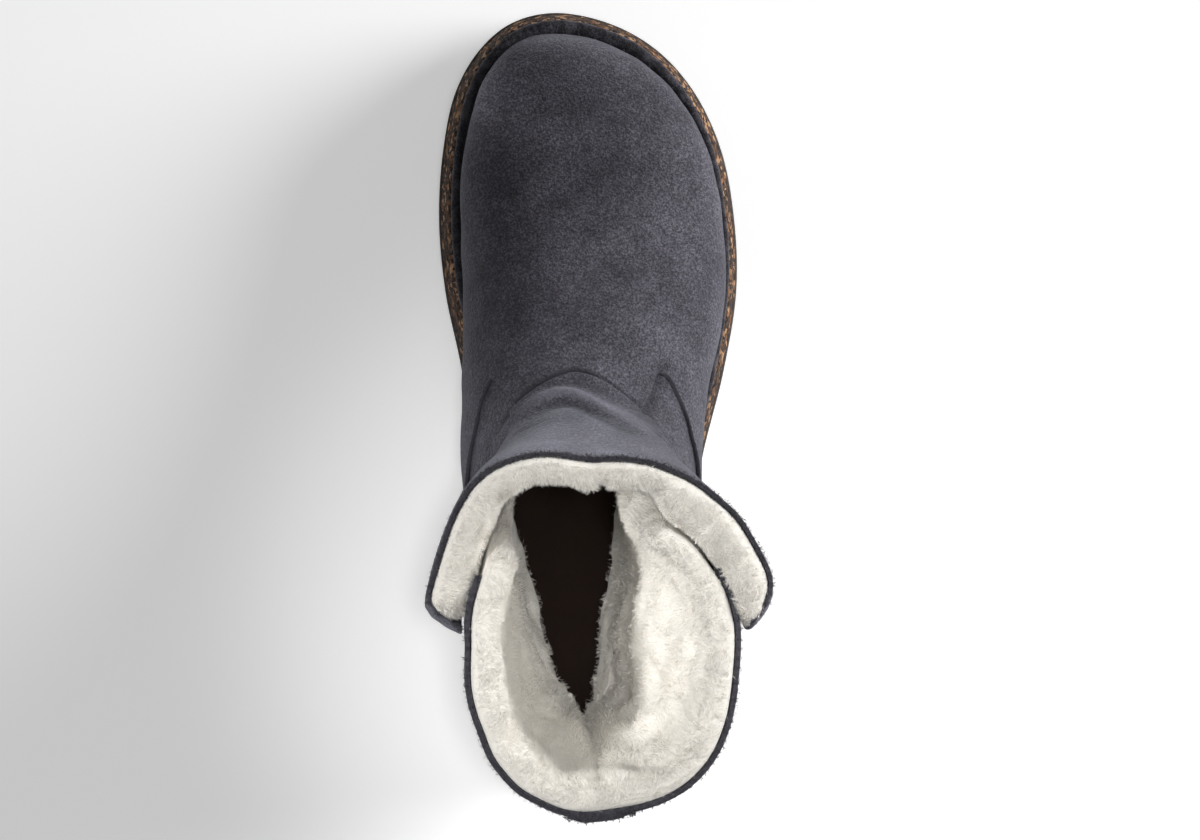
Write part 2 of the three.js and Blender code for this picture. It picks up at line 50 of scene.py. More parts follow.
# Sole
SOLE_LENGTH = 264
TOE_TIP_X = -8.5
TOE_SPRING = 9
SPRING_START = 188
CORK_TOP = Sizes(heel=29, forefoot=19, y=(55, 175))
TOE_LEDGE = Sizes(share=0.28, y=(225, 262))
OUTLINE_POINTS = 480
SOLID_OUTLINE_POINTS = 60
SOLE_EDGE = [  # y, medial reach, lateral reach
    (10.8, 26, 26), (36, 36.6, 37), (75, 35.8, 38.8), (108, 36.4, 43), (140, 40.2, 50.8),
    (168, 46, 55.3), (193, 48.2, 54.6), (217, 46.8, 50), (237, 42.5, 40.5), (251.3, 34.3, 27.5),
    (260.4, 23.4, 11),
]
OUTSOLE_FLANK = [  # inset, height
    (2.8, 0), (1.9, 0.3), (1.1, 0.9), (0.4, 2), (0, 3.2), (0, 4.8), (0, 6.4), (0.2, 6.9), (0.6, 7.2),
]
OUTSOLE_TOP = 7.2
GROOVE = Sizes(width=3.2, depth=2.6, pitch=12.4, chevron=7, reach=80, below=10)
GROOVE_RUNS = [(20, 72), (150, 246)]
GROOVE_CORNERS = [(-1, -1), (0, -1), (1, -1), (1, 1), (0, 1), (-1, 1)]
ARCH = Sizes(y=(84, 138), height=3, steps=16)
CORK_FLANK = Sizes(under=2.2, low=0.7, shoulder=2.9, top=4.1, ease=1.4, rows=9)
# The last column is a painted highlight along the cork's rounded top
CORK_SHOULDER = [(0.6, 0.35, 0.2), (0.9, 0.7, 1), (1, 1, 1)]  # share of height, of inset, how pale
CORK_RELIEF = [(0.22, 4, 11), (0.154, 2.2, 12)]  # height, size and seed, as for all reliefs
RAND_PROFILE = [  # inset, height above the cork
    (4.1, 0.2), (4.0, 2), (4.0, 4.2), (4.2, 5.3), (4.7, 6.0), (5.4, 6.3), (6.1, 6.2), (6.7, 5.7),
    (7.1, 4.6), (7.4, 2.8), (7.8, 0.2),
]
RAND_RELIEF = Sizes(up=[(0.14, 9, 21), (0.1, 3, 22)], out=[(0.1, 5, 23)], fold=[(0.5, 6, 24)])
RAND_STITCH = Sizes(pitch=7.8, inset=5.5, radius=0.32, slant=0.9, sides=6, steps=3, taper=0.55)
RAND_STITCH_PATH = [(6.2, 5.8), (6.6, 5.9), (7.0, 5.2), (7.4, 4.1), (7.8, 3)]  # inset, height
INSOLE = Sizes(inset=12.2, thickness=4, cup=2.5, cup_y=(150, 70))
INSOLE_GRID = Sizes(bars=110, columns=30)
INSOLE_RELIEF = [(0.25, 26, 31)]

# Upper and lining
UPPER_INSET = 8.8
HIDE = 1.6
OVERLAY = 1.4
LAYER_GAP = 0.1
GAP = 0.3
SEAT = 0.7
FLARE = Sizes(lean=1, wing=10.6)
FLARE_RAMP = Sizes(medial=(0, 0.24), lateral=(0.03, 0.46))
TUCK = Sizes(depth=10, u=(0.46, 0.14), first_row=13)
STAY = Sizes(half_width=10, foot=45, front=40, skive=5, skived=0.35)
FEATHER_GROOVE = Sizes(depth=1, height=(11, 3), toe=(250, 225))
VAMP_FIT = Sizes(sides=-0.8, toe=1.2, toe_y=(228, 250), rows=(8.5, 6.5))
WING_CURL = Sizes(medial=(10.9, 9), lateral=(8.5, 14), rows=(14, 17.5))  # depth, reach
QUARTER_LAP = 14
PILE = Sizes(foot=13.5, collar=10, z=(40, 120))
LUMP = Sizes(depth=1.1, around=(7, 3), along=(2, 3.7))
SECTIONS = np.array([  # base, rise, front, crest, ridge, medial, lateral, belly, round
    (252.4, 0, 252.4, 31.5, -8.2, 13.2, -1.7, 0.3, 2),
    (251, 0, 251, 37.5, -8.2, 18, 4.6, 0.3, 2.1),
    (248, 0, 248, 44, -8.2, 23, 12.6, 0.3, 2.2),
    (242.5, 0, 242.5, 50.5, -8, 28.8, 22.2, 0.3, 2.25),
    (234, 0, 234, 55.5, -7.5, 34.6, 32, 0.3, 2.25),
    (220, 0, 220, 60, -6.5, 38.7, 40.7, 0.3, 2.25),
    (200, 0, 202, 65, -6, 40.4, 46.4, 0.32, 2.2),
    (175, 0, 182, 71, -5, 40, 48.4, 0.34, 2.15),
    (150, 0, 164, 78, -4, 38.8, 46, 0.38, 2.1),
    (122, 0, 147, 86, -3, 39.4, 40.8, 0.42, 2.05),
    (92, 0, 135, 94.5, -2, 39.8, 38.4, 0.45, 2.05),
    (60, 0, 128.5, 103, -1, 39, 37.6, 0.47, 2.1),
    (31, 0, 125, 111.5, 0, 38.6, 37.4, 0.48, 2.15),
    (8.8, 0, 122.5, 120, 0, 38.6, 37.6, 0.48, 2.2),
    (4, 28, 119.5, 131, 0, 39, 38, 0.48, 2.2),
    (5, 58, 116.5, 142.5, 0, 39.6, 38.8, 0.48, 2.2),
    (6, 88, 114, 154.5, 0, 40.6, 40, 0.47, 2.15),
    (4, 118, 112, 167, 0, 41.8, 41.4, 0.46, 2.1),
    (0.6, 147, 110.5, 180, 0, 42.8, 42.6, 0.45, 2.1),
], float)
THROAT_ROW = 10
HEEL_ROW = 13
COLLAR_ROW = len(SECTIONS) - 1
UNDER_ROUND = Sizes(sole=1.7, heel=2.2, first_row=11)
LEAST_BULGE = 0.7
FRONT_SPAN = 0.98
# Edge of vamp and flap in the side view (y, z), from the sole over the notch to the collar
FREE_EDGE = {
    "medial": [
        (52, 20), (64, 40), (80, 56), (96, 67), (110, 73), (122, 75.5), (131, 76.3), (135.3, 77.1),
        (137, 79), (132, 88), (125, 97), (118, 105), (110, 115), (94, 133), (74, 151), (60.5, 164),
        (58.5, 172), (62.5, 180), (72, 187),
    ],
    "lateral": [
        (52, 20), (66, 42), (80, 56), (94, 67), (108, 74.5), (120, 77.6), (130, 78.8), (135.5, 79.5),
        (138.3, 80.6), (138.6, 82.4), (133, 88.5), (126, 99), (113, 115), (95, 133), (76, 151),
        (61.5, 164), (59.6, 172), (64, 180), (73, 187),
    ],
}
EDGE_BLEND = (0, 15)
THROAT_OPENING = [  # z, medial, lateral reach of the opening under the flap in the front view
    (86, -14, -14), (105, 0, 0), (109, 11, 8), (120, 22, 14), (145, 30, 18), (190, 35, 21),
]
THROAT_BACK = 55

# The step where the foot of the flap folds over the vamp, in the view from above (x, y)
MAIN_FOLD = Sizes(
    rise=1.9, reach=11, lip=0.6, groove=0.9, groove_width=0.9, shadow_width=1.3, paler=(0.75, 0.45), steps=30,
)
MAIN_FOLD_LINE = [
    (-29, 118), (-23, 126), (-15, 133), (-6.2, 137.2), (1, 136.4), (6.8, 133.1), (17.6, 123.3), (23, 115.5),
]
# Softer creases of the instep in the view from above: depth, width and their line (x, y)
INSTEP_FOLDS = [
    (1.6, 1.9, [(-20, 123.5), (-13, 128.5), (-5, 129.2), (9, 122), (21, 114.5)]),
    (-1.6, 1.6, [(-17, 121), (-11, 125.5), (-4, 126.2), (8, 119.5), (17, 113.5)]),
    (-0.8, 1.8, [(-16, 129.5), (-7, 132.8), (2, 131), (11, 125)]),
    (-1.2, 1.4, [
        (26.5, 138.2), (25.3, 139.6), (23.8, 139), (22.4, 135.2), (21, 131.2), (19, 127), (16.5, 124),
        (13.5, 122),
    ]),
]
INSTEP_AREA = Sizes(back=100, low=60, half_width=36)
# Patches lighter or darker in the view from above, partly brushed nap, mostly painted light and shade: x, y,
# radius, share
# Painted highlights on the lateral side and the medial toe, painted shade down the medial side, both round
# the instep fold
NAP_AND_LIGHT_PATCHES = [
    (-31, 233, 12, 1.7), (-2, 238, 13, -0.12), (31, 225, 13, 0.12), (41, 188, 20, 0.4), (39, 162, 18, 0.35),
    (-37, 183, 22, -0.3), (-36, 145, 20, -0.3), (-38, 110, 18, -0.35), (-3, 155, 13, -0.12),
    (-13, 170, 10, 0.12), (7, 139.5, 5, 0.22), (1.5, 115.5, 5.5, 0.32), (-14.5, 114.5, 5, 0.3),
    (16.5, 112.5, 4.5, 0.24), (-5, 123.5, 4, -0.3), (9, 119.5, 3.5, -0.28), (19, 126, 4.5, -0.3),
    (20.5, 118.5, 3.5, -0.32), (-20, 120, 3.5, -0.24),
]
# Soft folds of the ankle in the side view: side (-1 medial, 1 lateral), depth, width, line (y, z)
SIDE_FOLDS = [
    (1, -1.5, 4.5, [(114, 92), (92, 93), (66, 85), (38, 77), (10, 75)]),
    (1, 1.0, 4.5, [(108, 102), (88, 104), (62, 96), (36, 87), (10, 85)]),
    (1, -1.2, 5.0, [(102, 114), (82, 117), (58, 109), (32, 99), (10, 97)]),
    (-1, -1.4, 4.5, [(112, 90), (90, 88), (64, 79), (40, 73), (10, 75)]),
    (-1, 1.0, 4.5, [(108, 100), (86, 99), (60, 90), (38, 84), (10, 85)]),
    (-1, -1.2, 5.0, [(104, 112), (84, 113), (58, 104), (34, 97), (10, 97)]),
]
SIDE_FOLD_AREA = Sizes(x=(-6, 12), front=125, low=55)
FOLD_END = {"crease": (0.02, 0.6), "main": (0.03, 0.5)}  # share of the line that fades out, and how
DENTS = [(0.35, 55, 1), (0.12, 17, 2)]
COLLAR_WAVES = [(0.9, 70, 3, 14), (0.4, 24, 4, 16)]  # height, size, seed, first row
COLLAR_STRETCH = (1, 1, 0.3)

# Numbers and curves

def smooth(x, low, high):
    t = np.clip((np.asarray(x, float) - low) / (high - low), 0, 1)
    return t * t * (3 - 2 * t)


def lerp(a, b, t):
    return a + (b - a) * t


def size_of(vectors):
    return np.linalg.norm(vectors, axis=-1)


def unit(vectors, least=1e-9):
    return vectors / np.maximum(size_of(vectors), least)[..., None]


def waves(points, size, seed, count=8):
    """Smooth noise of about -1 to 1 with features of the given size."""
    draw = np.random.default_rng(seed)
    axes = unit(draw.normal(size=(count, 3))) * draw.uniform(0.7, 1.5, (count, 1)) * 2 * np.pi / size
    return np.sin(points @ axes.T + draw.uniform(0, 2 * np.pi, count)).sum(1) / math.sqrt(count)


def ripples(points, settings):
    """Sum of waves with their heights, sizes and seeds."""
    return sum(height * waves(points, size, seed) for height, size, seed in settings)


def spline(a, b, c, d, t):
    """The smooth line from b to c that comes from a and goes on to d."""
    turn = 2 * a - 5 * b + 4 * c - d + (3 * (b - c) + d - a) * t
    return b + 0.5 * t * (c - a + t * turn)


def curve(points, steps=12):
    """A smooth line through points."""
    p = np.array(points, float)
    padded = np.vstack([2 * p[0] - p[1], p, 2 * p[-1] - p[-2]])
    t = np.linspace(0, 1, steps, endpoint=False)[:, None]
    parts = [spline(*four, t) for four in zip(padded, padded[1:], padded[2:], padded[3:])]
    return np.vstack([*parts, p[-1:]])


# The sole's outline and heights

def lift(y):
    return TOE_SPRING * (np.maximum(y - SPRING_START, 0) / (SOLE_LENGTH - SPRING_START)) ** 2


def cork_top(y):
    share = smooth(y, *CORK_TOP.y)
    return lerp(CORK_TOP.heel, CORK_TOP.forefoot, share) + lift(y)


def feather_height(y):
    return cork_top(y) + SEAT


def insole_top(y):
    return cork_top(y) + GAP + INSOLE.thickness


OUTLINE_KNOTS = np.array(
    [(0, 0)] + [(lateral, y) for y, _, lateral in SOLE_EDGE]
    + [(TOE_TIP_X, SOLE_LENGTH)] + [(-medial, y) for y, medial, _ in reversed(SOLE_EDGE)],
    float,
)


def outline_point(t):
    """Point of the closed outline at a share t of the way round, from the heel along the lateral side."""
    count = len(OUTLINE_KNOTS)
    at = np.mod(t, 1) * count
    i = np.floor(at).astype(int)
    w = (at - i)[:, None]
    a, b, c, d = (OUTLINE_KNOTS[(i + k) % count] for k in (-1, 0, 1, 2))
    ab, bc, cd = (np.sqrt(size_of(q - p))[:, None] for p, q in ((a, b), (b, c), (c, d)))
    start = ((b - a) / ab - (c - a) / (ab + bc) + (c - b) / bc) * bc
    end = ((c - b) / bc - (d - b) / (bc + cd) + (d - c) / cd) * bc
    return b + w * (start + w * (3 * (c - b) - 2 * start - end + w * (2 * (b - c) + start + end)))


def sole_outline(inset, count=OUTLINE_POINTS, start=0, ledge=1.0):
    """The outline moved inwards, further at the toe by a share of the ledge there."""
    t = start + np.arange(count) / count
    point = outline_point(t)
    along = unit(outline_point(t + 1e-4) - outline_point(t - 1e-4))
    wider = ledge * TOE_LEDGE.share * smooth(point[:, 1], *TOE_LEDGE.y)
    inward = np.column_stack([-along[:, 1], along[:, 0]])
    return point + inward * (inset * (1 + wider))[:, None]


OUTSOLE_LOW, OUTSOLE_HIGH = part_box("outsole")
SHIFT = np.array([
    OUTSOLE_HIGH.x * 1000 - sole_outline(0, SOLID_OUTLINE_POINTS)[:, 0].max(),
    OUTSOLE_LOW.y * 1000,
    0,
])


def place(points):
    return (np.asarray(points) + SHIFT) * 0.001


FEATHER = sole_outline(UPPER_INSET)
HALF = OUTLINE_POINTS // 2
FEATHER_SIDES = {1: FEATHER[:HALF + 1], -1: np.vstack([FEATHER[:1], FEATHER[:HALF - 1:-1]])}


def feather_reach(y, side):
    edge = FEATHER_SIDES[side]
    return np.interp(y, np.maximum.accumulate(edge[:, 1]), edge[:, 0])


# The last: v runs along the sections, u from -1 (medial) over 0 (ridge) to 1 (lateral)

def section_at(v):
    k = np.minimum(np.floor(v), COLLAR_ROW - 1).astype(int)
    around = (SECTIONS[np.clip(k + i, 0, COLLAR_ROW)] for i in (-1, 0, 1, 2))
    return spline(*around, (v - k)[:, None]).T


TOE_TIP = FEATHER[HALF]


def last_point(u, v):
    row = np.maximum(v, 0)
    base_y, rise, front, crest, ridge, medial, lateral, belly, fullness = section_at(row)
    side = np.where(u < 0, -1, 1)
    on_sole = row < HEEL_ROW
    base_z = feather_height(np.where(on_sole, base_y, SECTIONS[HEEL_ROW][0])) + np.maximum(rise, 0)
    edge = np.where(side > 0, feather_reach(base_y, 1), feather_reach(base_y, -1))
    foot = side * (np.where(on_sole, edge, 0) - ridge)
    reach = np.maximum(side * (np.where(side > 0, lateral, -medial) - ridge), foot + LEAST_BULGE)
    share = np.where(on_sole, np.maximum(foot / reach, 0), 0)
    heel_share = smooth(row, UNDER_ROUND.first_row, HEEL_ROW)
    under = lerp(UNDER_ROUND.sole, UNDER_ROUND.heel, heel_share)
    end = np.pi - np.arcsin(share ** (under / 2))
    angle = np.abs(u) * end
    over = angle <= np.pi / 2
    power = 2 / np.where(over, fullness, under)
    across = np.maximum(np.sin(angle), 0) ** power
    cosine = np.cos(angle)
    upper = belly + (1 - belly) * np.maximum(cosine, 0) ** power
    lower = belly * (1 - np.maximum(cosine / np.cos(end), 0) ** power)
    along = np.where(over, upper, lower)
    y = lerp(base_y, front, along)
    z = lerp(base_z, crest, along)
    point = np.column_stack([ridge + side * reach * across, y, z])
    tip = np.array([TOE_TIP[0], TOE_TIP[1], feather_height(TOE_TIP[1])])
    return np.where((v < 0)[:, None], lerp(tip, point, (v + 1)[:, None]), point)


def last_normal(u, v, step=0.004):
    row = np.maximum(v, 0)
    seam = row >= HEEL_ROW

    def turn(w):
        wrapped = np.where(np.abs(w) > 1, w - 2 * np.sign(w), w)
        return np.where(seam, wrapped, np.clip(w, -1, 1))

    around = last_point(turn(u + step), row) - last_point(turn(u - step), row)
    above = last_point(u, np.minimum(row + step, COLLAR_ROW))
    below = last_point(u, np.maximum(row - step, np.where(seam, HEEL_ROW, 0)))
    normal = unit(np.cross(above - below, around))
    toe = unit(lerp(np.array([0, 1, 0]), normal, np.clip(v + 1, 0, 1)[:, None]))
    return np.where((v < 0)[:, None], toe, normal)


def flare(u, v):
    """How far the flap stands off the last."""
    ramp = np.where(u < 0, smooth(-u, *FLARE_RAMP.medial), smooth(u, *FLARE_RAMP.lateral))
    return smooth(v, THROAT_ROW, COLLAR_ROW) * (FLARE.lean + FLARE.wing * ramp)


def tuck(u, v):
    """How far the lateral quarter is tucked in behind the flap."""
    up = smooth(v, TUCK.first_row, COLLAR_ROW)
    return np.where(u > 0, TUCK.depth * up * smooth(u, *TUCK.u), 0)


def pile(u, v):
    """Depth of the wool."""
    z = last_point(u, v)[:, 2]
    first = np.sin(LUMP.around[0] * np.pi * u + LUMP.along[0] * v)
    second = np.cos(LUMP.around[1] * np.pi * u - LUMP.along[1] * v)
    depth = lerp(PILE.foot, PILE.collar, smooth(z, *PILE.z))
    return depth + LUMP.depth * first * second


# Creases

def from_line(flat, path, end):
    """Distance of points from a line, their share of the way along it, and how it fades at its ends."""
    apart = size_of(flat[:, None, :] - path[None, :, :])
    share = apart.argmin(1) / (len(path) - 1)
    margin, power = FOLD_END[end]
    return apart.min(1), share, np.sin(np.pi * np.clip(share, margin, 1 - margin)) ** power


def trough(flat, line, width):
    """Weight of a crease along a line."""
    apart, _, fade = from_line(flat, curve(line), "crease")
    return fade * np.exp(-(apart / width) ** 2)


def over_instep(point):
    x, y, z = point.T
    return (y > INSTEP_AREA.back) & (z > INSTEP_AREA.low) & (np.abs(x) < INSTEP_AREA.half_width)


def creases(point):
    total = np.zeros(len(point))
    near = over_instep(point)
    for depth, width, line in INSTEP_FOLDS:
        total[near] += depth * trough(point[near][:, :2], line, width)
    area = SIDE_FOLD_AREA
    for side, depth, width, line in SIDE_FOLDS:
        x = point[:, 0] * side
        near = (x > area.x[0]) & (point[:, 1] < area.front) & (point[:, 2] > area.low)
        total[near] += depth * smooth(x[near], *area.x) * trough(point[near][:, 1:], line, width)
    return total


def main_fold(point):
    """Height of the step where the flap folds over the vamp, and how dark the painted shadow along its line
    is.
    """
    height, shade = np.zeros((2, len(point)))
    near = over_instep(point)
    flat = point[near][:, :2]
    path = curve(MAIN_FOLD_LINE, MAIN_FOLD.steps)
    apart, share, fade = from_line(flat, path, "main")
    behind = np.sign(np.interp(flat[:, 0], *path.T) - flat[:, 1]) * apart
    lip = MAIN_FOLD.lip
    raised = smooth(behind, -lip, lip) * np.exp(-(np.maximum(behind, 0) / MAIN_FOLD.reach) ** 2)
    groove = np.exp(-((behind + lip) / MAIN_FOLD.groove_width) ** 2)
    shadow = np.exp(-((behind + lip) / MAIN_FOLD.shadow_width) ** 2)
    height[near] = fade * (MAIN_FOLD.rise * raised - MAIN_FOLD.groove * groove)
    shade[near] = fade * shadow * smooth(share, *MAIN_FOLD.paler)
    return height, shade


def nap_and_painted_light(point):
    """How much lighter or darker the suede is, as a share of its colour: partly brushed nap, mostly painted
    light and shade.
    """
    return sum(
        share * np.exp(-(size_of(point[:, :2] - (x, y)) / radius) ** 2) for x, y, radius, share in NAP_AND_LIGHT_PATCHES
    )


def relief(point, v):
    """Height of creases, soft dents and the uneven collar over the last."""
    along_rim = point * COLLAR_STRETCH
    collar = sum(
        height * waves(along_rim, size, seed) * smooth(v, first_row, COLLAR_ROW)
        for height, size, seed, first_row in COLLAR_WAVES
    )
    return creases(point) + main_fold(point)[0] + ripples(point, DENTS) + collar


def lasted(uv, offset):
    """Points of the last, with its creases, at an offset along the normal."""
    u, v = uv.T
    point = last_point(u, v)
    return point + last_normal(u, v) * (offset + relief(point, v))[:, None]


EDGE_LINES = [curve(FREE_EDGE[side]) for side in ("medial", "lateral")]
THROAT_LINE = curve(THROAT_OPENING)


def ahead(point):
    """Distance ahead of the free edges of vamp and flap."""
    x, y, z = point.T
    medial, lateral = (np.interp(z, np.maximum.accumulate(line[:, 1]), line[:, 0]) for line in EDGE_LINES)
    return y - lerp(medial, lateral, smooth(x, *EDGE_BLEND))


def inside_throat(point):
    """Distance inside the opening that the flap covers."""
    x, y, z = point.T
    medial, lateral = (np.interp(z, THROAT_LINE[:, 0], THROAT_LINE[:, k]) for k in (1, 2))
    return np.minimum(np.minimum(x + medial, lateral - x), y - THROAT_BACK)


def wing(uv):
    """How far the flap stands off the last, with the free ends of its wings curled in."""
    stand = flare(*uv.T)
    medial = uv[:, 0] < 0
    depth, reach = (np.where(medial, *pair) for pair in zip(WING_CURL.medial, WING_CURL.lateral))
    near = np.clip(1 - ahead(lasted(uv, stand + OVERLAY)) / reach, 0, 1)
    return stand - depth * near ** 2 * smooth(uv[:, 1], *WING_CURL.rows)


# Grids of the last, cut and thickened

HALF_GIRTH = 140
GRID_SAMPLES = 1200
GIRTH_PROBES = (-0.9, -0.5, 0, 0.5, 0.9)
FINER_ROWS = Sizes(begin=(7.6, 8.6), end=(13, 14))
FINER_MIDDLE = (0.3, 0.45)
ON_LINE = 1e-3


def spread(position, length, spacing):
    """Positions at even distances along a measured length."""
    total = np.concatenate([[0], np.cumsum(length)])
    return np.interp(np.linspace(0, total[-1], int(total[-1] / spacing) + 1), total, position)


def grid(first, spacing, span=1.0, finer=1.0):
    """A grid of the last from a first row to the collar, finer over the instep."""
    v = np.linspace(first, COLLAR_ROW, GRID_SAMPLES)
    lines = (last_point(np.full_like(v, u), v) for u in GIRTH_PROBES)
    steps = [size_of(np.diff(line, axis=0)) for line in lines]
    bend = smooth(v[1:], *FINER_ROWS.begin) * (1 - smooth(v[1:], *FINER_ROWS.end))
    rows = spread(v, np.max(steps, axis=0) * (1 + (finer - 1) * bend), spacing)
    u = np.linspace(-span, span, GRID_SAMPLES)
    middle = 1 - smooth(np.abs(u[1:]), *FINER_MIDDLE)
    columns = spread(u, HALF_GIRTH * np.diff(u) * (1 + (finer - 1) * middle), spacing)
    v, u = np.meshgrid(rows, columns, indexing="ij")
    index = np.arange(v.size).reshape(v.shape)
    a, b, c, d = index[:-1, :-1], index[1:, :-1], index[1:, 1:], index[:-1, 1:]
    halves = [np.stack(corner, -1).reshape(-1, 3) for corner in ((a, b, c), (a, c, d))]
    return np.column_stack([u.ravel(), v.ravel()]), np.vstack(halves)


def clip(uv, triangles, field):
    """Cuts triangles along the zero line of a field and keeps what is above zero."""
    value = field(uv)
    value = np.where(np.abs(value) < ON_LINE, ON_LINE, value)
    inside = value[triangles] > 0
    count = inside.sum(1)
    kept, pairs = [triangles[count == 3]], []
    for wanted in (1, 2):
        some = count == wanted
        odd = np.argmax(inside[some] == (wanted == 1), axis=1)
        pairs.append(np.take_along_axis(triangles[some], (odd[:, None] + np.arange(3)) % 3, axis=1))
    corners = np.vstack([part[:, [0, k]] for part in pairs for k in (1, 2)])
    edges, which = np.unique(np.sort(corners, axis=1), axis=0, return_inverse=True)
    which = which.ravel() + len(uv)
    start, end = edges.T
    share = (value[start] / (value[start] - value[end]))[:, None]
    points = np.vstack([uv, lerp(uv[start], uv[end], share)])
    one, two = pairs
    ab, ac, cut_b, cut_c = np.split(which, np.cumsum([len(one), len(one), len(two)]))
    kept.append(np.column_stack([one[:, 0], ab, ac]))
    kept.append(np.column_stack([cut_b, two[:, 1], two[:, 2]]))
    kept.append(np.column_stack([cut_b, two[:, 2], cut_c]))
    return compact(points, np.vstack(kept))


def compact(points, triangles):
    used, index = np.unique(triangles, return_inverse=True)
    return points[used], index.reshape(-1, 3)


def weld(uv, triangles):
    """Joins points of the grid that lie in one place, such as both sides of the back seam."""
    place_of = np.round(last_point(*uv.T), 3)
    _, first, same = np.unique(place_of, axis=0, return_index=True, return_inverse=True)
    joined = same.ravel()[triangles]
    return uv[first], joined[(joined != np.roll(joined, 1, axis=1)).all(1)]


def cut(made, *fields):
    """Cuts a grid along fields and joins its seams."""
    for field in fields:
        made = clip(*made, field)
    return weld(*made)


def boundary(triangles):
    edges = np.vstack([triangles[:, pair] for pair in ([0, 1], [1, 2], [2, 0])])
    size = triangles.max() + 1
    code = edges[:, 0] * size + edges[:, 1]
    back = edges[:, 1] * size + edges[:, 0]
    return edges[~np.isin(code, back)]


def shell(uv, triangles, outer, inner, bulge, rows):
    """A closed skin between two offsets with a rounded rim. Gives points, faces and, per point,
    how far it is through the skin (0 outside, 1 inside), whether it is on the rim, and the way in."""
    u, v = uv.T
    top, bottom = lasted(uv, outer), lasted(uv, inner)
    normal = last_normal(u, v)
    edges = boundary(triangles)
    out = np.zeros_like(top)
    side = np.cross(top[edges[:, 1]] - top[edges[:, 0]], normal[edges[:, 0]])
    np.add.at(out, edges[:, 0], side)
    np.add.at(out, edges[:, 1], side)
    rim = np.unique(edges)
    out = unit(out[rim])
    place_in_rim = np.zeros(len(uv), int)
    place_in_rim[rim] = np.arange(len(rim))
    points, rings = [top, bottom], [rim]
    through, on_rim = [np.zeros(len(uv)), np.ones(len(uv))], [np.zeros(2 * len(uv))]
    for k in range(1, rows + 1):
        angle = np.pi * k / (rows + 1)
        share = (1 - math.cos(angle)) / 2
        points.append(lerp(top[rim], bottom[rim], share) + out * bulge * math.sin(angle))
        rings.append(2 * len(uv) + (k - 1) * len(rim) + np.arange(len(rim)))
        through.append(np.full(len(rim), share))
        on_rim.append(np.ones(len(rim)))
    rings.append(rim + len(uv))
    faces = [*triangles.tolist(), *(triangles[:, ::-1] + len(uv)).tolist()]
    a, b = place_in_rim[edges.T]
    for upper, lower in zip(rings, rings[1:]):
        faces += np.column_stack([upper[b], upper[a], lower[a], lower[b]]).tolist()
    inward = np.vstack([-normal, -normal] + [-normal[rim]] * rows)
    return np.vstack(points), faces, np.concatenate(through), np.concatenate(on_rim), inward


# Pieces and materials

def add(name, data):
    made = bpy.data.objects.new(name, data)
    SCENE.collection.objects.link(made)
    return made


def mesh_object(name, points, faces):
    mesh = bpy.data.meshes.new(name)
    mesh.from_pydata(np.asarray(points).tolist(), [], faces)
    return add(name, mesh)


def set_inputs(node, values):
    for socket, value in values.items():
        node.inputs[socket].default_value = value


def piece(name, points, faces, material, slot, replaced=(), sharp=None, **layers):
    """A piece of the boot, with values per point for its material and the solid that it replaces."""
    made = mesh_object(name, place(points), faces)
    mesh = made.data
    for layer, values in layers.items():
        mesh.attributes.new(layer, "FLOAT", "POINT").data.foreach_set("value", np.asarray(values, np.float32))
    mesh.polygons.foreach_set("use_smooth", np.ones(len(mesh.polygons), bool))
    if sharp is not None:
        mesh.set_sharp_from_angle(angle=math.radians(sharp))
    mesh.validate()
    mesh.materials.append(material)
    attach(made, "root")
    if replaced:
        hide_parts(replaced)


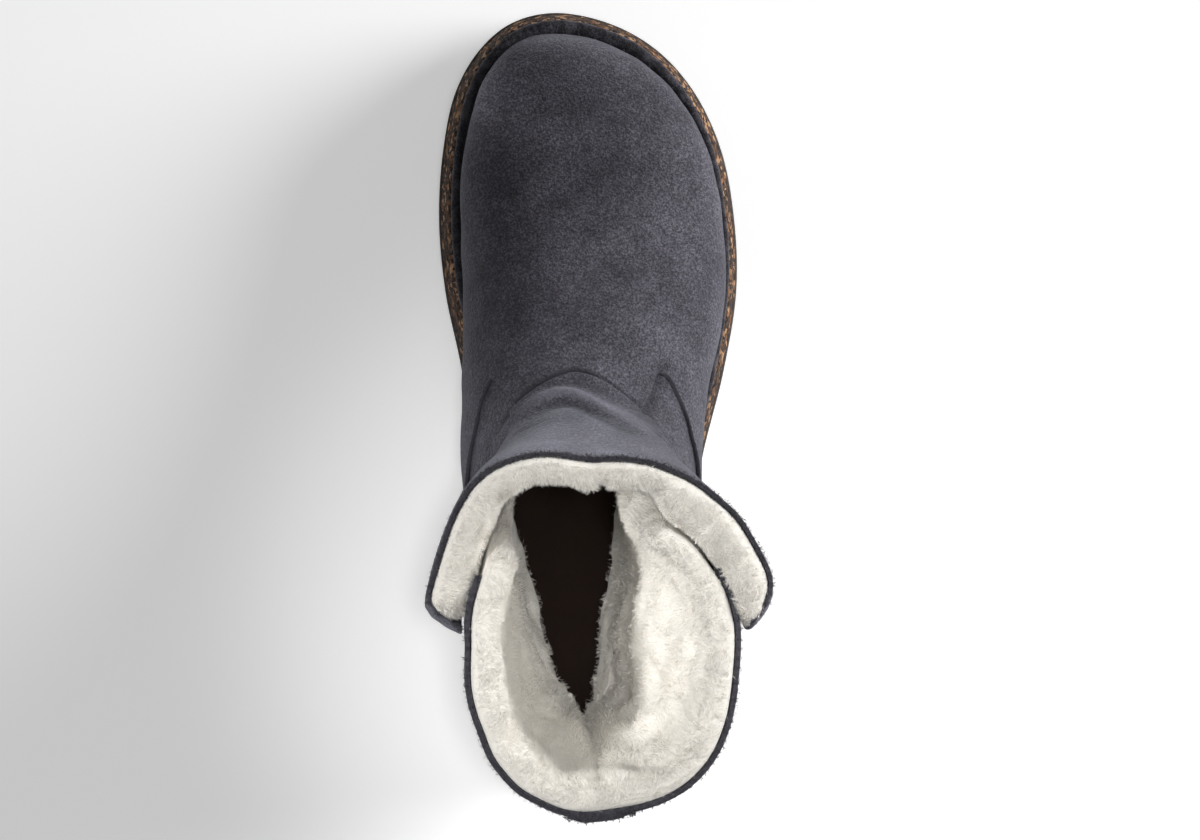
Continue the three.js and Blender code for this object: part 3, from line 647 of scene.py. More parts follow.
class Nodes:
    """A material of one Principled shader, with short calls for the nodes that feed it."""

    def __init__(self, name, roughness, specular, sheen=0.0, sheen_tint=(1, 1, 1)):
        self.material = bpy.data.materials.new(name)
        self.material.use_nodes = True
        self.tree = self.material.node_tree
        self.shader = self.tree.nodes["Principled BSDF"]
        self.place = self.node("TexCoord").outputs["Object"]
        set_inputs(self.shader, {
            "Roughness": roughness, "Specular IOR Level": specular, "Sheen Weight": sheen,
            "Sheen Roughness": 0.5, "Sheen Tint": (*sheen_tint, 1),
        })

    def link(self, value, socket):
        if isinstance(value, bpy.types.NodeSocket):
            self.tree.links.new(value, socket)
        else:
            socket.default_value = value

    def node(self, kind, **inputs):
        made = self.tree.nodes.new("ShaderNode" + kind)
        for socket, value in inputs.items():
            self.link(value, made.inputs[socket])
        return made

    def noise(self, scale, detail=2.0, roughness=0.5, stretch=None):
        place_in = self.place
        if stretch:
            place_in = self.node("Mapping", Vector=place_in, Scale=stretch).outputs["Vector"]
        made = self.node("TexNoise", Vector=place_in, Scale=scale, Detail=detail, Roughness=roughness)
        return made.outputs["Fac"]

    def cells(self, scale, output="Color"):
        made = self.node("TexVoronoi", Vector=self.place, Scale=scale).outputs[output]
        return self.node("SeparateColor", Color=made).outputs[0] if output == "Color" else made

    def layer(self, name):
        node = self.node("Attribute")
        node.attribute_name = name
        return node.outputs["Fac"]

    def ramp(self, value, *stops):
        node = self.node("ValToRGB", Fac=value)
        marks = node.color_ramp.elements
        while len(marks) < len(stops):
            marks.new(0.5)
        for mark, (at, colour) in zip(marks, stops):
            mark.position = at
            mark.color = (*colour, 1) if isinstance(colour, tuple) else (colour, colour, colour, 1)
        return node.outputs["Color"]

    def mix(self, share, a, b, mode="MIX"):
        node = self.node("Mix")
        node.data_type = "RGBA"
        node.blend_type = mode
        self.link(share, node.inputs["Factor"])
        for value, socket in ((a, node.inputs[6]), (b, node.inputs[7])):
            self.link((*value, 1) if isinstance(value, tuple) else value, socket)
        return node.outputs[2]

    def math(self, kind, a, b):
        node = self.node("Math")
        node.operation = kind
        self.link(a, node.inputs[0])
        self.link(b, node.inputs[1])
        return node.outputs[0]

    def total(self, *parts):
        """Sum of values with their weights."""
        first, *rest = (self.math("MULTIPLY", value, weight) for value, weight in parts)
        for value in rest:
            first = self.math("ADD", first, value)
        return first

    def finish(self, colour, height=None, bump=0.5, depth=0.0003):
        self.link(colour, self.shader.inputs["Base Color"])
        if height is not None:
            node = self.node("Bump", Height=height, Strength=bump, Distance=depth)
            self.link(node.outputs["Normal"], self.shader.inputs["Normal"])
        return self.material


NAP_RUN = (1, 1, 0.35)  # the nap lies in strokes down the shaft


def tinted(colour, share):
    return tuple(share * c for c in colour)


def suede_material(name, dark, light, edge):
    """Napped suede: blotches, patches of brushed nap and painted light and shade, a fine nap, ridges paler
    from worn nap and a painted highlight, painted shade in folds, and dark cut edges.
    """
    n = Nodes(name, roughness=0.95, specular=0.2, sheen=0.2, sheen_tint=(0.8, 0.82, 0.95))
    blotch = n.total((n.noise(38, 3), 0.65), (n.noise(150, 4), 0.35))
    colour = n.mix(n.ramp(blotch, (0.36, 0.0), (0.64, 1.0)), dark, light)
    layers = ((1450, 0.6, 0.6), (2600, 0.5, 0.2), (750, 0.6, 0.2))
    nap = n.total(*((n.noise(scale, 2, rough, NAP_RUN), weight) for scale, rough, weight in layers))
    colour = n.mix(1.0, colour, n.ramp(nap, (0.39, 0.24), (0.5, 0.5), (0.6, 1.0)), "MULTIPLY")
    # The layer "nap" lightens and darkens the suede by brushed nap and by painted light and shade
    colour = n.mix(1.0, colour, n.math("ADD", n.layer("nap"), 1.0), "MULTIPLY")
    # The layer "fold": painted shade in creases and along the main fold, paler on ridges from worn nap and a
    # painted highlight; on the rand it varies at random
    fold = n.layer("fold")
    ridge = n.math("MULTIPLY", n.math("MAXIMUM", fold, 0.0), 0.5)
    colour = n.mix(ridge, colour, tinted(light, 1.5))
    painted_crease_shade = n.math("MULTIPLY", n.math("MAXIMUM", n.math("MULTIPLY", fold, -1.0), 0.0), 0.75)
    colour = n.mix(n.math("MINIMUM", painted_crease_shade, 1.0), colour, tinted(dark, 0.3))
    colour = n.mix(n.layer("edge"), colour, edge)
    height = n.total((nap, 1.0), (n.noise(600, 3), 0.6))
    return n.finish(colour, height, bump=0.9, depth=0.0007)


def cork_material():
    """Stained cork: dark granules with tan and orange flecks, and a painted highlight along its top edge."""
    n = Nodes("cork", roughness=0.8, specular=0.3)
    fleck = n.ramp(
        n.cells(640), (0.0, (0.014, 0.009, 0.008)), (0.66, (0.028, 0.016, 0.011)),
        (0.71, (0.11, 0.045, 0.02)), (0.81, (0.28, 0.115, 0.045)), (0.91, (0.58, 0.35, 0.19)),
    )
    fine = n.ramp(
        n.cells(1500), (0.3, (0.012, 0.008, 0.007)), (0.7, (0.05, 0.022, 0.013)), (0.9, (0.42, 0.2, 0.09)),
    )
    colour = n.mix(0.3, fleck, fine)
    patch = n.ramp(n.noise(75, 3), (0.48, 0.0), (0.64, 1.0))
    colour = n.mix(n.math("MULTIPLY", patch, 0.45), colour, (0.016, 0.011, 0.01))
    broken_top_highlight = n.ramp(n.noise(520, 2), (0.47, 0.0), (0.6, 0.7))
    # Painted highlight, broken up by noise, where the layer "edge" marks the cork's rounded top
    colour = n.mix(n.math("MULTIPLY", n.layer("edge"), broken_top_highlight), colour, (0.3, 0.19, 0.115))
    height = n.total((n.cells(640, "Distance"), 1.0), (n.noise(1500, 2), 0.5))
    return n.finish(colour, height, bump=0.6, depth=0.0004)


def rubber_material():
    n = Nodes("rubber", roughness=0.7, specular=0.4)
    colour = n.mix(n.noise(140, 4), (0.03, 0.025, 0.021), (0.065, 0.054, 0.046))
    scuff = n.ramp(n.noise(900, 3, 0.6, (1, 1, 0.3)), (0.55, 0.0), (0.75, 0.5))
    colour = n.mix(scuff, colour, (0.11, 0.095, 0.082))
    return n.finish(colour, n.noise(1800, 3), bump=0.3, depth=0.0003)


def footbed_material():
    n = Nodes("footbed", roughness=0.95, specular=0.2, sheen=0.2, sheen_tint=(0.6, 0.5, 0.45))
    colour = n.mix(n.noise(70, 4), (0.012, 0.0062, 0.0047), (0.022, 0.0125, 0.009))
    nap = n.noise(1900, 3, 0.6)
    colour = n.mix(0.5, colour, n.ramp(nap, (0.3, 0.5), (0.7, 1.0)), "MULTIPLY")
    return n.finish(colour, nap, bump=0.5, depth=0.0004)


def wool_material(name, deep, light, base):
    """Wool, shaded by its tone: mottled on the base, paler towards the tips on the fibres."""
    n = Nodes(name, roughness=0.95, specular=0.15, sheen=0.15, sheen_tint=(1, 0.98, 0.94))
    # The layer "tone" darkens towards this colour: at random per fibre, and as painted shade at the rim high
    # up
    shaded = tinted(deep, 0.62)
    if base:
        mottle = n.total((n.noise(260, 4, 0.6), 0.6), (n.noise(1300, 3), 0.4))
        colour = n.mix(n.ramp(mottle, (0.35, 0.0), (0.6, 1.0)), deep, light)
        return n.finish(n.mix(n.layer("tone"), colour, shaded), mottle, bump=0.7, depth=0.0012)
    colour = n.mix(n.layer("tone"), n.mix(n.layer("tip"), deep, light), shaded)
    return n.finish(n.mix(n.math("MULTIPLY", n.noise(90, 3), 0.2), colour, tinted(light, 0.9)))


def thread_material():
    n = Nodes("thread", roughness=0.85, specular=0.3, sheen=0.3)
    colour = n.mix(n.noise(900, 2), (0.006, 0.006, 0.007), (0.02, 0.02, 0.023))
    return n.finish(colour, n.noise(2600, 2, 0.5, (1, 1, 3)), bump=0.5, depth=0.0003)


SUEDE = suede_material("suede", (0.071, 0.067, 0.083), (0.134, 0.127, 0.155), (0.050, 0.048, 0.057))
DARK_SUEDE = suede_material("dark_suede", (0.044, 0.042, 0.050), (0.082, 0.078, 0.092), (0.030, 0.029, 0.034))
CORK = cork_material()
RUBBER = rubber_material()
FOOTBED = footbed_material()
WOOL = wool_material("wool_base", (0.89, 0.85, 0.78), (0.935, 0.915, 0.87), True)
FIBRE = wool_material("wool_fibre", (0.865, 0.825, 0.755), (0.925, 0.905, 0.86), False)
THREAD = thread_material()


# Sole

def ring(inset, base, rise=0, count=OUTLINE_POINTS, start=0, ledge=1.0):
    """The outline moved inwards, at a rise above a base that depends on y."""
    flat = sole_outline(inset, count, start, ledge)
    return np.column_stack([flat, base(flat[:, 1]) + rise])


def band(low, high, count):
    """Faces between two rings of points, from the numbers of their first points."""
    i = np.arange(count)
    after = (i + 1) % count
    return np.column_stack([low + i, low + after, high + after, high + i]).tolist()


def ring_stack(rings, closed=True):
    """Points and faces of stacked rings; closed by bars across the ends, or else joined end to end."""
    count, last = len(rings[0]), len(rings) - 1
    faces = []
    for k in range(last if closed else last + 1):
        faces += band(k * count, (k + 1) % len(rings) * count, count)
    if closed:
        for k in range(count // 2):
            bar = list(dict.fromkeys([k, k + 1, count - k - 1, (count - k) % count]))
            faces += [[last * count + corner for corner in bar], bar[::-1]]
    return np.vstack(rings), faces


def prism(outline, depth):
    """A block with a flat outline, moved along a direction."""
    count = len(outline)
    near, far = np.arange(2 * count).reshape(2, count)
    points = np.vstack([outline, outline + np.asarray(depth)])
    return points, [*band(0, count, count), near[::-1].tolist(), far.tolist()]


def joined(parts):
    points, faces, start = [], [], 0
    for some, made in parts:
        points.append(some)
        faces += [[corner + start for corner in face] for face in made]
        start += len(some)
    return np.vstack(points), faces


def tread_cutter():
    parts = []
    half, reach, back = GROOVE.width / 2, GROOVE.reach, GROOVE.chevron
    for first, last in GROOVE_RUNS:
        for y in np.arange(first, last + 1e-6, GROOVE.pitch):
            outline = [(a * reach, y + b * half - abs(a) * back, -GROOVE.below) for a, b in GROOVE_CORNERS]
            parts.append(prism(np.array(outline), (0, 0, GROOVE.below + lift(y) + GROOVE.depth)))
    t = np.linspace(0, 1, ARCH.steps)
    y = lerp(*ARCH.y, t)
    z = ARCH.height * (-1 + 8 * t * (1 - t))
    bow = np.column_stack([np.full_like(y, -reach), y, z])
    parts.append(prism(bow, (2 * reach, 0, 0)))
    return joined(parts)


def outsole():
    rings = [ring(inset, lift, rise) for inset, rise in OUTSOLE_FLANK]
    body = mesh_object("outsole_body", *ring_stack(rings))
    cutter = mesh_object("tread_cutter", *tread_cutter())
    tread = body.modifiers.new("tread", "BOOLEAN")
    tread.operation = "DIFFERENCE"
    tread.solver = "EXACT"
    tread.object = cutter
    bpy.context.view_layer.update()
    made = bpy.data.meshes.new_from_object(body.evaluated_get(bpy.context.evaluated_depsgraph_get()))
    points = np.array([vertex.co for vertex in made.vertices])
    faces = [list(face.vertices) for face in made.polygons]
    for item in (body, cutter):
        bpy.data.objects.remove(item)
    piece("tread_outsole", points, faces, RUBBER, "rubber", "outsole", sharp=35)


def outward(points):
    """The level way out from the middle of the sole."""
    return unit((points - (0, SOLE_LENGTH / 2, 0)) * (1, 0.5, 0))


def cork_midsole():
    low, ease, rows = OUTSOLE_TOP + GAP, CORK_FLANK.ease, CORK_FLANK.rows
    rings, edge = [ring(CORK_FLANK.under, lift, low, ledge=0)], [0]
    for t in np.arange(rows + 1) / rows:
        inset = lerp(CORK_FLANK.low, CORK_FLANK.shoulder, t)
        rings.append(ring(inset, lambda y: lerp(lift(y) + low, cork_top(y) - ease, t), ledge=0))
        edge.append(0)
    for share, inset, pale in CORK_SHOULDER:
        depth = lerp(CORK_FLANK.shoulder, CORK_FLANK.top, inset)
        rings.append(ring(depth, cork_top, ease * (share - 1), ledge=0))
        edge.append(pale)
    points, faces = ring_stack(rings)
    points = points + outward(points) * ripples(points, CORK_RELIEF)[:, None]
    piece("cork_midsole", points, faces, CORK, "cork", "midsole", edge=np.repeat(edge, OUTLINE_POINTS))


def rand():
    count = 2 * OUTLINE_POINTS
    insets, heights = np.array(RAND_PROFILE).T
    ledges = (insets - insets[0]) / (insets[-1] - insets[0])
    profile = zip(insets, heights, ledges)
    rings = [ring(inset, cork_top, rise, count, ledge=ledge) for inset, rise, ledge in profile]
    points, faces = ring_stack(rings, closed=False)
    points[:, 2] += np.repeat(heights / heights.max(), count) * ripples(points, RAND_RELIEF.up)
    points = points + outward(points) * ripples(points, RAND_RELIEF.out)[:, None]
    layers = {"edge": np.zeros(len(points)), "fold": ripples(points, RAND_RELIEF.fold)}
    piece("rand_strip", points, faces, DARK_SUEDE, "dark_suede", "rand", **layers)


def tube(path):
    """Points and faces of a stitch along a path, thinner at its ends."""
    sides = RAND_STITCH.sides
    along = unit(np.gradient(path, axis=0))
    across = unit(np.cross(along, (0.3, 0.2, 1.0)))
    up = np.cross(across, along)
    angle = np.arange(sides) * 2 * np.pi / sides
    radius = np.full(len(path), RAND_STITCH.radius)
    radius[[0, -1]] *= RAND_STITCH.taper
    rings = [
        p + r * (np.cos(angle)[:, None] * a + np.sin(angle)[:, None] * b)
        for p, a, b, r in zip(path, across, up, radius)
    ]
    last = (len(path) - 1) * sides
    faces = [face for low in range(0, last, sides) for face in band(low, low + sides, sides)]
    i = np.arange(sides)
    return np.vstack(rings), [*faces, i[::-1].tolist(), (last + i).tolist()]


def rand_stitches():
    outline = sole_outline(RAND_STITCH.inset)
    length = size_of(np.roll(outline, -1, axis=0) - outline).sum()
    count = int(length / RAND_STITCH.pitch)
    levels = []
    for k, (inset, height) in enumerate(RAND_STITCH_PATH):
        slant = RAND_STITCH.slant * k / (len(RAND_STITCH_PATH) - 1) / length
        levels.append(ring(inset, cork_top, height, count, slant))
    paths = [curve(points, RAND_STITCH.steps) for points in zip(*levels)]
    piece("rand_stitches", *joined([tube(path) for path in paths]), THREAD, "dark_suede")


def insole():
    bars, columns = INSOLE_GRID.bars, INSOLE_GRID.columns
    edge = sole_outline(INSOLE.inset, 2 * bars)
    share = np.linspace(0, 1, columns + 1)[:, None]
    i = np.arange(1, bars)
    flat = lerp(edge[2 * bars - i][:, None], edge[i][:, None], share)
    y = flat[:, :, 1]
    cup = INSOLE.cup * np.abs(2 * share.T - 1) ** 3 * smooth(y, *INSOLE.cup_y)
    top = np.dstack([flat, insole_top(y) + cup]).reshape(-1, 3)
    top[:, 2] += ripples(top, INSOLE_RELIEF)
    base = np.dstack([flat, cork_top(y) + GAP]).reshape(-1, 3)
    index = np.arange(y.size).reshape(y.shape)
    quads = np.stack([index[:-1, :-1], index[:-1, 1:], index[1:, 1:], index[1:, :-1]], -1).reshape(-1, 4)
    loop = np.concatenate([index[0], index[1:, -1], index[-1, -2::-1], index[-2:0:-1, 0]])
    after = np.roll(loop, -1)
    sides = np.column_stack([after, loop, loop + y.size, after + y.size])
    faces = [*quads.tolist(), *(quads[:, ::-1] + y.size).tolist(), *sides.tolist()]
    piece("footbed_insole", np.vstack([top, base]), faces, FOOTBED, "footbed", "insole", sharp=40)


# Upper

SKIN_RIM = Sizes(rows=3, bulge=0.2, collar=0.05)
# How creases paint shade into their hollows and a paler tone onto their ridges, and how dark the painted
# shadow of the main fold is
FOLD_SHADE = Sizes(full=1.6, main=2.2, limits=(-1.3, 1))


def skin_piece(name, made, outer, inner):
    """A piece of suede; gives the points of its cut edge along the collar."""
    uv, triangles = made
    points, faces, _, rim, _ = shell(uv, triangles, outer, inner, SKIN_RIM.bulge, SKIN_RIM.rows)
    point = last_point(*uv.T)
    shade = creases(point) / FOLD_SHADE.full - FOLD_SHADE.main * main_fold(point)[1]
    fold = np.zeros(len(points))
    fold[:2 * len(uv)] = np.tile(np.clip(shade, *FOLD_SHADE.limits), 2)
    layers = {"edge": rim, "fold": fold, "nap": nap_and_painted_light(points)}
    piece(name, points, faces, SUEDE, "suede", "upper", sharp=50, **layers)
    at_collar = uv[np.unique(boundary(triangles)), 1] > COLLAR_ROW - SKIN_RIM.collar
    return points[2 * len(uv):][np.tile(at_collar, SKIN_RIM.rows)]


def vamp_and_flap():
    made = cut(
        grid(-1, spacing=1.95, span=FRONT_SPAN, finer=1.9),
        lambda p: ahead(lasted(p, flare(*p.T) + OVERLAY)),
    )
    uv = made[0]
    point = last_point(*uv.T)
    height = point[:, 2] - feather_height(point[:, 1])
    groove = smooth(height, *FEATHER_GROOVE.height) * smooth(point[:, 1], *FEATHER_GROOVE.toe)
    fit = lerp(VAMP_FIT.sides, VAMP_FIT.toe, smooth(point[:, 1], *VAMP_FIT.toe_y))
    lean = wing(uv) - FEATHER_GROOVE.depth * groove + fit * smooth(uv[:, 1], *VAMP_FIT.rows)
    return skin_piece("vamp_and_flap", made, lean + OVERLAY, lean + LAYER_GAP)


def quarters():
    made = cut(
        grid(7, spacing=2.0),
        lambda p: QUARTER_LAP - ahead(lasted(p, -tuck(*p.T))),
        lambda p: -inside_throat(lasted(p, -tuck(*p.T))),
    )
    depth = -tuck(*made[0].T)
    return skin_piece("quarters", made, depth, depth - HIDE)


def back_stay():
    made = cut(
        grid(12, spacing=1.2),
        lambda p: STAY.front - last_point(*p.T)[:, 1],
        lambda p: last_point(*p.T)[:, 2] - STAY.foot,
        lambda p: STAY.half_width - np.abs(last_point(*p.T)[:, 0]),
    )
    inward = STAY.half_width - np.abs(last_point(*made[0].T)[:, 0])
    thick = lerp(STAY.skived, OVERLAY, smooth(inward, 0, STAY.skive))
    return skin_piece("back_stay", made, thick, np.full_like(thick, LAYER_GAP))


# Wool

FILL = 0.78
SKIN_GAP = 0.5
THROAT_CLEAR = 1.5
WOOL_SETBACK = Sizes(medial=7.5, lateral=4.6)
WOOL_LUMPS = Sizes(back=[(0.7, 30, 41), (0.35, 11, 42)], front=[(0.7, 30, 43), (0.35, 11, 44)])
WOOL_RIM = Sizes(rows=6, back=3, front=2.6)
# Fuller and thinner places: depth, where it starts and is full along an axis, and width at the middle
BACK_SEAM = {"depth": 1.3, "y": (60, 40), "width": 2.5}
HEEL_FILL = {"depth": 10, "y": (95, 25), "z": (176, 75), "width": 5, "dip": 0.35}
SIDE_FILL = {"depth": 9.5, "x": (5, 30), "y": (20, 60), "z": (182, 122)}
MEDIAL_THIN = {"depth": 6, "x": (0, -15), "y": (68, 92), "z": (172, 140)}
FRONT_NOTCH = {"depth": 4, "z": (150, 178), "width": 1.8}
FRONT_FILL = Sizes(deepest=14, least=0.8, clear=(-1, 7), off_rim=2.2, rim_rows=(17.7, 18))
GROWTH = Sizes(back=(36, 44), front=(112, 120), under_flap=(2, -2), below=(176, 170))


def zone(point, area):
    shares = [smooth(point[:, k], *area[axis]) for k, axis in enumerate("xyz") if axis in area]
    return area["depth"] * np.prod(shares, axis=0)


def in_middle(point, area):
    return np.exp(-(point[:, 0] / area["width"]) ** 2)


def foot_room(point):
    return point[:, 2] - insole_top(point[:, 1]) - INSOLE.cup - GAP


def fleece_back():
    skin = HIDE + SKIN_GAP

    def outer(p):
        return -tuck(*p.T) - skin

    def inner(p):
        point = last_point(*p.T)
        seam = zone(point, BACK_SEAM) * in_middle(point, BACK_SEAM)
        heel = zone(point, HEEL_FILL) * (1 - HEEL_FILL["dip"] * in_middle(point, HEEL_FILL))
        fill = heel + zone(point, SIDE_FILL) + ripples(point, WOOL_LUMPS.back)
        return outer(p) - FILL * pile(*p.T) - fill + seam + zone(point, MEDIAL_THIN)

    uv, triangles = cut(
        grid(THROAT_ROW, spacing=2.2),
        lambda p: -THROAT_CLEAR - inside_throat(lasted(p, outer(p))),
        lambda p: foot_room(lasted(p, outer(p))),
    )

    made = shell(uv, triangles, outer(uv), inner(uv), WOOL_RIM.back, WOOL_RIM.rows)
    return made, "fleece_back", "lining_back", lambda point: smooth(point[:, 2], *GROWTH.back)


def fleece_front():
    skin = LAYER_GAP - SKIN_GAP

    def outer(p):
        return wing(p) + skin

    def within_flap(p):
        setback = np.where(p[:, 0] < 0, WOOL_SETBACK.medial, WOOL_SETBACK.lateral)
        return ahead(lasted(p, flare(*p.T) + skin)) - setback

    def inner(p):
        point = last_point(*p.T)
        notch = zone(point, FRONT_NOTCH) * in_middle(point, FRONT_NOTCH)
        free = outer(p) - FILL * pile(*p.T) - ripples(point, WOOL_LUMPS.front) + notch
        off_rim = FRONT_FILL.off_rim * smooth(p[:, 1], *FRONT_FILL.rim_rows) * (p[:, 0] < 0)
        filled = np.maximum(SKIN_GAP + off_rim - tuck(*p.T), outer(p) - FRONT_FILL.deepest)
        clear = inside_throat(lasted(p, -tuck(*p.T)))
        return lerp(filled, free, smooth(clear, *FRONT_FILL.clear))

    uv, triangles = cut(
        grid(THROAT_ROW, spacing=2.0, span=FRONT_SPAN),
        within_flap,
        lambda p: outer(p) - inner(p) - FRONT_FILL.least,
    )

    def growth(point):
        hidden = smooth(inside_throat(point), *GROWTH.under_flap) * smooth(point[:, 2], *GROWTH.below)
        return smooth(point[:, 2], *GROWTH.front) * (1 - hidden)

    made = shell(uv, triangles, outer(uv), inner(uv), WOOL_RIM.front, WOOL_RIM.rows)
    return made, "fleece_front", "lining_front", growth


FIBRES_PER_PIECE = 36000
FIBRE_STAGES = (0.0, 0.38, 0.72, 1.0)
FIBRE_WIDTHS = (0.17, 0.15, 0.11)
FIBRE_PALE = (0, 0, 0.45, 0.45, 0.8, 0.8, 1)  # for each point of a fibre
FIBRE_SIZES = (0.75, 1.2)
FIBRE_BEND = Sizes(droop=0.33, lean=0.7)
FIBRE_LOCKS = [(0.8, 13, 50), (0.6, 5, 60)]
FIBRE_TONE = 0.3
# Wool darker at its rim high up, on the base and the fibres: partly darker handled tips, partly painted shade
# of the pile ends
RIM_SHADE_AND_TONE = Sizes(base=0.6, fibres=0.95)
HIGH_WOOL = (95, 172)
FIBRE_DENSITY = Sizes(deep=0.35, high=1.4, rim=1.4, through=(0.04, 0.3))
FIBRE_LENGTH = Sizes(grown=(2.6, 3.0), cut_at_rim=0.35, root=0.5)
FIBRE_LEAN = Sizes(rim=2.2, wild=0.6)
COLLAR_FUZZ = Sizes(count=10000, scatter=0.4, length=1.5, upright=0.8, wild=1.0, edge=0.5)


def vertex_normals(points, triangles):
    a, b, c = (points[corner] for corner in triangles.T)
    face = np.cross(b - a, c - a)
    total = np.zeros_like(points)
    for k in range(3):
        np.add.at(total, triangles[:, k], face)
    return unit(total), size_of(face) / 2


def fibres(root, normal, length, bias, wild, seed, rim_shade=0.0):
    """Short fibres as tapered ribbons that lean together in locks, and towards a bias."""
    draw = np.random.default_rng(seed)
    count, each = len(root), len(FIBRE_PALE)
    locks = [[(height, size, first + k) for height, size, first in FIBRE_LOCKS] for k in range(3)]
    pull = np.column_stack([ripples(root, settings) for settings in locks])
    lean = pull + wild * draw.normal(size=(count, 3)) + bias
    lean -= (lean * normal).sum(1, keepdims=True) * normal
    lean = unit(lean, least=1.0)
    size = (length * draw.uniform(*FIBRE_SIZES, count))[:, None]
    path = [
        root + size * (normal * (s - FIBRE_BEND.droop * s * s) + lean * FIBRE_BEND.lean * s * s)
        for s in FIBRE_STAGES
    ]
    side = unit(np.cross(normal, draw.normal(size=(count, 3))))
    points = []
    for p, w in zip(path, FIBRE_WIDTHS):
        points += [p - side * w / 2, p + side * w / 2]
    points.append(path[-1])
    i = each * np.arange(count)
    shapes = ((0, 1, 3, 2), (2, 3, 5, 4), (4, 5, 6))
    faces = [face for shape in shapes for face in np.column_stack([i + k for k in shape]).tolist()]
    tone = np.repeat(np.clip(draw.uniform(0, 1, count) * (FIBRE_TONE + rim_shade), 0, 1), each)
    return np.stack(points, 1).reshape(-1, 3), faces, np.tile(FIBRE_PALE, count), tone


def wool(made, pieces_wanted, seed):
    """The woollen base, and the fibres on its inner face and rim."""
    (points, faces, through, rim, inward), name, node, growth = made
    shaded = RIM_SHADE_AND_TONE.base * rim * smooth(points[:, 2], *HIGH_WOOL)
    piece(name, points, faces, WOOL, "shearling", node, tone=shaded)
    triangles = np.array([[f[0], f[k], f[k + 1]] for f in faces for k in range(1, len(f) - 1)])
    normals, area = vertex_normals(points, triangles)
    middle = points[triangles].mean(1)
    depth = through[triangles].mean(1)
    high = smooth(middle[:, 2], *HIGH_WOOL)
    on_rim = rim[triangles].mean(1)
    density = FIBRE_DENSITY.deep + FIBRE_DENSITY.high * high + FIBRE_DENSITY.rim * on_rim * high
    weight = area * smooth(depth, *FIBRE_DENSITY.through) * density * growth(middle)
    draw = np.random.default_rng(seed)
    for k in range(1, pieces_wanted + 1):
        pick = draw.choice(len(triangles), FIBRES_PER_PIECE, p=weight / weight.sum())
        r, s = np.sqrt(draw.uniform(size=(2, FIBRES_PER_PIECE, 1)))
        shares = (1 - r, r * (1 - s * s), r * s * s)
        corners = triangles[pick].T
        root = sum(share * points[corner] for share, corner in zip(shares, corners))
        normal = unit(sum(share * normals[corner] for share, corner in zip(shares, corners)))
        at_edge = on_rim[pick] * (1 - depth[pick])
        length = lerp(*FIBRE_LENGTH.grown, high[pick]) * (1 - FIBRE_LENGTH.cut_at_rim * at_edge)
        bias = FIBRE_LEAN.rim * at_edge[:, None] * inward[corners[0]]
        rim_shade = RIM_SHADE_AND_TONE.fibres * on_rim[pick] * high[pick]
        root = root - FIBRE_LENGTH.root * normal
        grown, ribbons, tip, tone = fibres(root, normal, length, bias, FIBRE_LEAN.wild, seed + k, rim_shade)
        piece(f"{name}_fibres_{k}", grown, ribbons, FIBRE, "shearling", tip=tip, tone=tone)


def edge_fuzz(rims, seed):
    """Short dark fibres on the cut edges of the suede round the collar."""
    draw = np.random.default_rng(seed)
    points = np.vstack(rims)
    count = COLLAR_FUZZ.count
    root = points[draw.integers(len(points), size=count)]
    root = root + draw.normal(size=(count, 3)) * COLLAR_FUZZ.scatter
    normal = unit(draw.normal(size=(count, 3)) + (0, 0, COLLAR_FUZZ.upright))
    length = np.full(count, COLLAR_FUZZ.length)
    grown, ribbons, tip, _ = fibres(root, normal, length, 0, COLLAR_FUZZ.wild, seed + 1)
    layers = {"edge": COLLAR_FUZZ.edge * tip, "fold": np.zeros(len(grown))}
    piece("collar_fuzz", grown, ribbons, DARK_SUEDE, "suede", **layers)


outsole()
cork_midsole()
rand()
rand_stitches()
insole()
edge_fuzz([make() for make in (vamp_and_flap, quarters, back_stay)], seed=300)
wool(fleece_back(), pieces_wanted=2, seed=100)
wool(fleece_front(), pieces_wanted=1, seed=200)


# Floor, light and camera, in metres

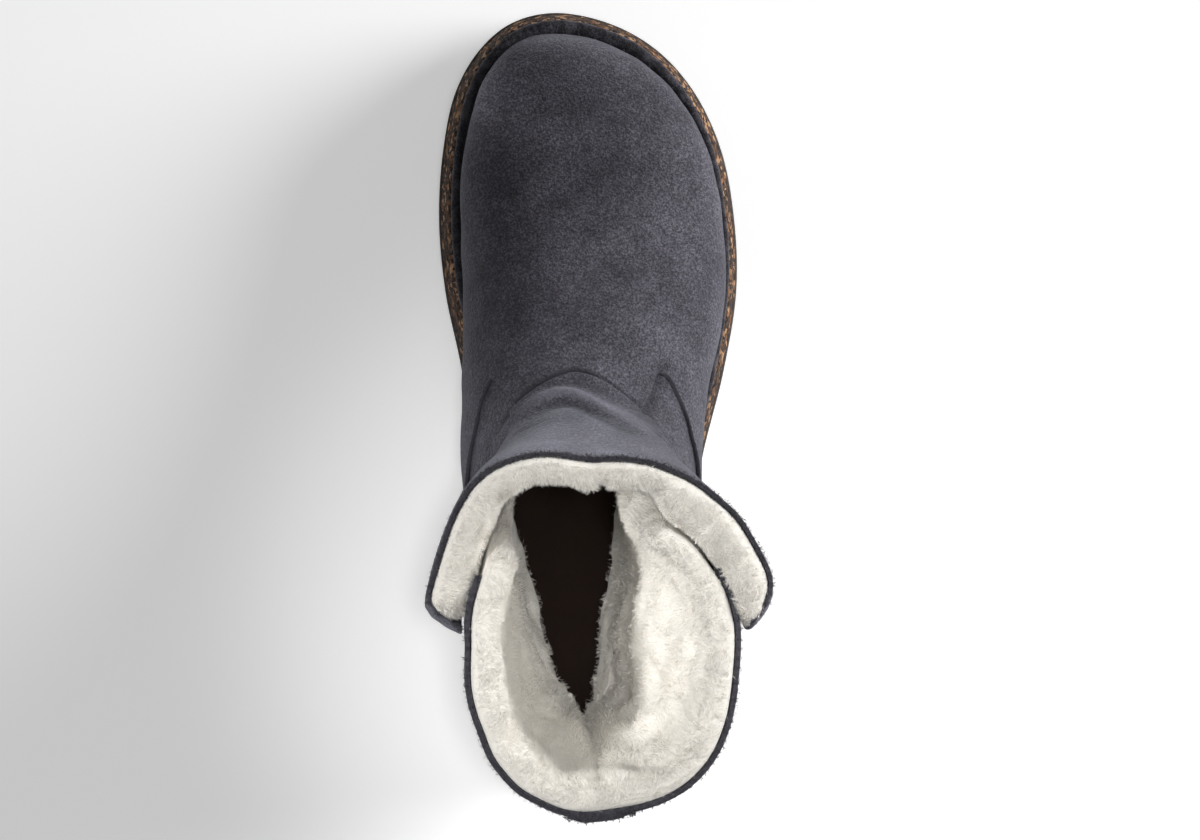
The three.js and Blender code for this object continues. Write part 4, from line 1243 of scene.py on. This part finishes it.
CAMERA = Sizes(place=(-0.0603, -0.0083, 1.45), turn=-2.69, lens=124.59, sensor=36, clip=0.01)
FLOOR_REACH = 4
FLOOR_GLOW = 0.38
WORLD_GLOW = 0.1
LIGHTS = {  # kind, place, aim, power, and what its kind needs
    "key": ("AREA", (1.25, 0.42, 0.58), (0, 0, 0.05), 22, {"shape": "DISK", "size": 0.8}),
    "top": ("AREA", (0.1, -0.05, 2.0), (0, 0, 0.05), 4.2, {"shape": "DISK", "size": 0.7}),
    "collar_side": (
        "SPOT", (-0.51, -0.05, 0.93), (0.018, -0.08, 0.14), 48,
        {"spot_size": math.radians(13), "spot_blend": 0.6, "shadow_soft_size": 0.11},
    ),
    "collar_top": (
        "SPOT", (0.0, -0.03, 1.3), (0.0, -0.08, 0.12), 27,
        {"spot_size": math.radians(8), "spot_blend": 0.6, "shadow_soft_size": 0.07},
    ),
}


def stage():
    n = Nodes("floor", roughness=0.9, specular=0.1)
    set_inputs(n.shader, {"Emission Color": (1, 1, 1, 1), "Emission Strength": FLOOR_GLOW})
    corners = [(FLOOR_REACH * x, FLOOR_REACH * y, 0) for x, y in ((-1, -1), (1, -1), (1, 1), (-1, 1))]
    floor = mesh_object("floor", corners, [(0, 1, 2, 3)])
    floor.data.materials.append(n.finish(n.mix(n.noise(3, 2), (0.92, 0.92, 0.925), (0.94, 0.94, 0.945))))


def lights():
    for name, (kind, place_at, aim, power, settings) in LIGHTS.items():
        data = bpy.data.lights.new(name, kind)
        data.energy = power
        for setting, value in settings.items():
            setattr(data, setting, value)
        lamp = add(name, data)
        lamp.location = place_at
        lamp.rotation_euler = (Vector(aim) - Vector(place_at)).to_track_quat("-Z", "Y").to_euler()
        lamp.visible_camera = False
    world = bpy.data.worlds.new("studio")
    world.use_nodes = True
    set_inputs(world.node_tree.nodes["Background"], {"Color": (1, 1, 1, 1), "Strength": WORLD_GLOW})
    SCENE.world = world
    SCENE.view_settings.view_transform = "Standard"


def set_camera():
    data = bpy.data.cameras.new("camera")
    data.lens = CAMERA.lens
    data.sensor_width = CAMERA.sensor
    data.clip_start = CAMERA.clip
    camera = add("camera", data)
    camera.location = CAMERA.place
    camera.rotation_euler = (0, math.radians(CAMERA.turn), 0)
    SCENE.camera = camera


stage()
lights()
set_camera()
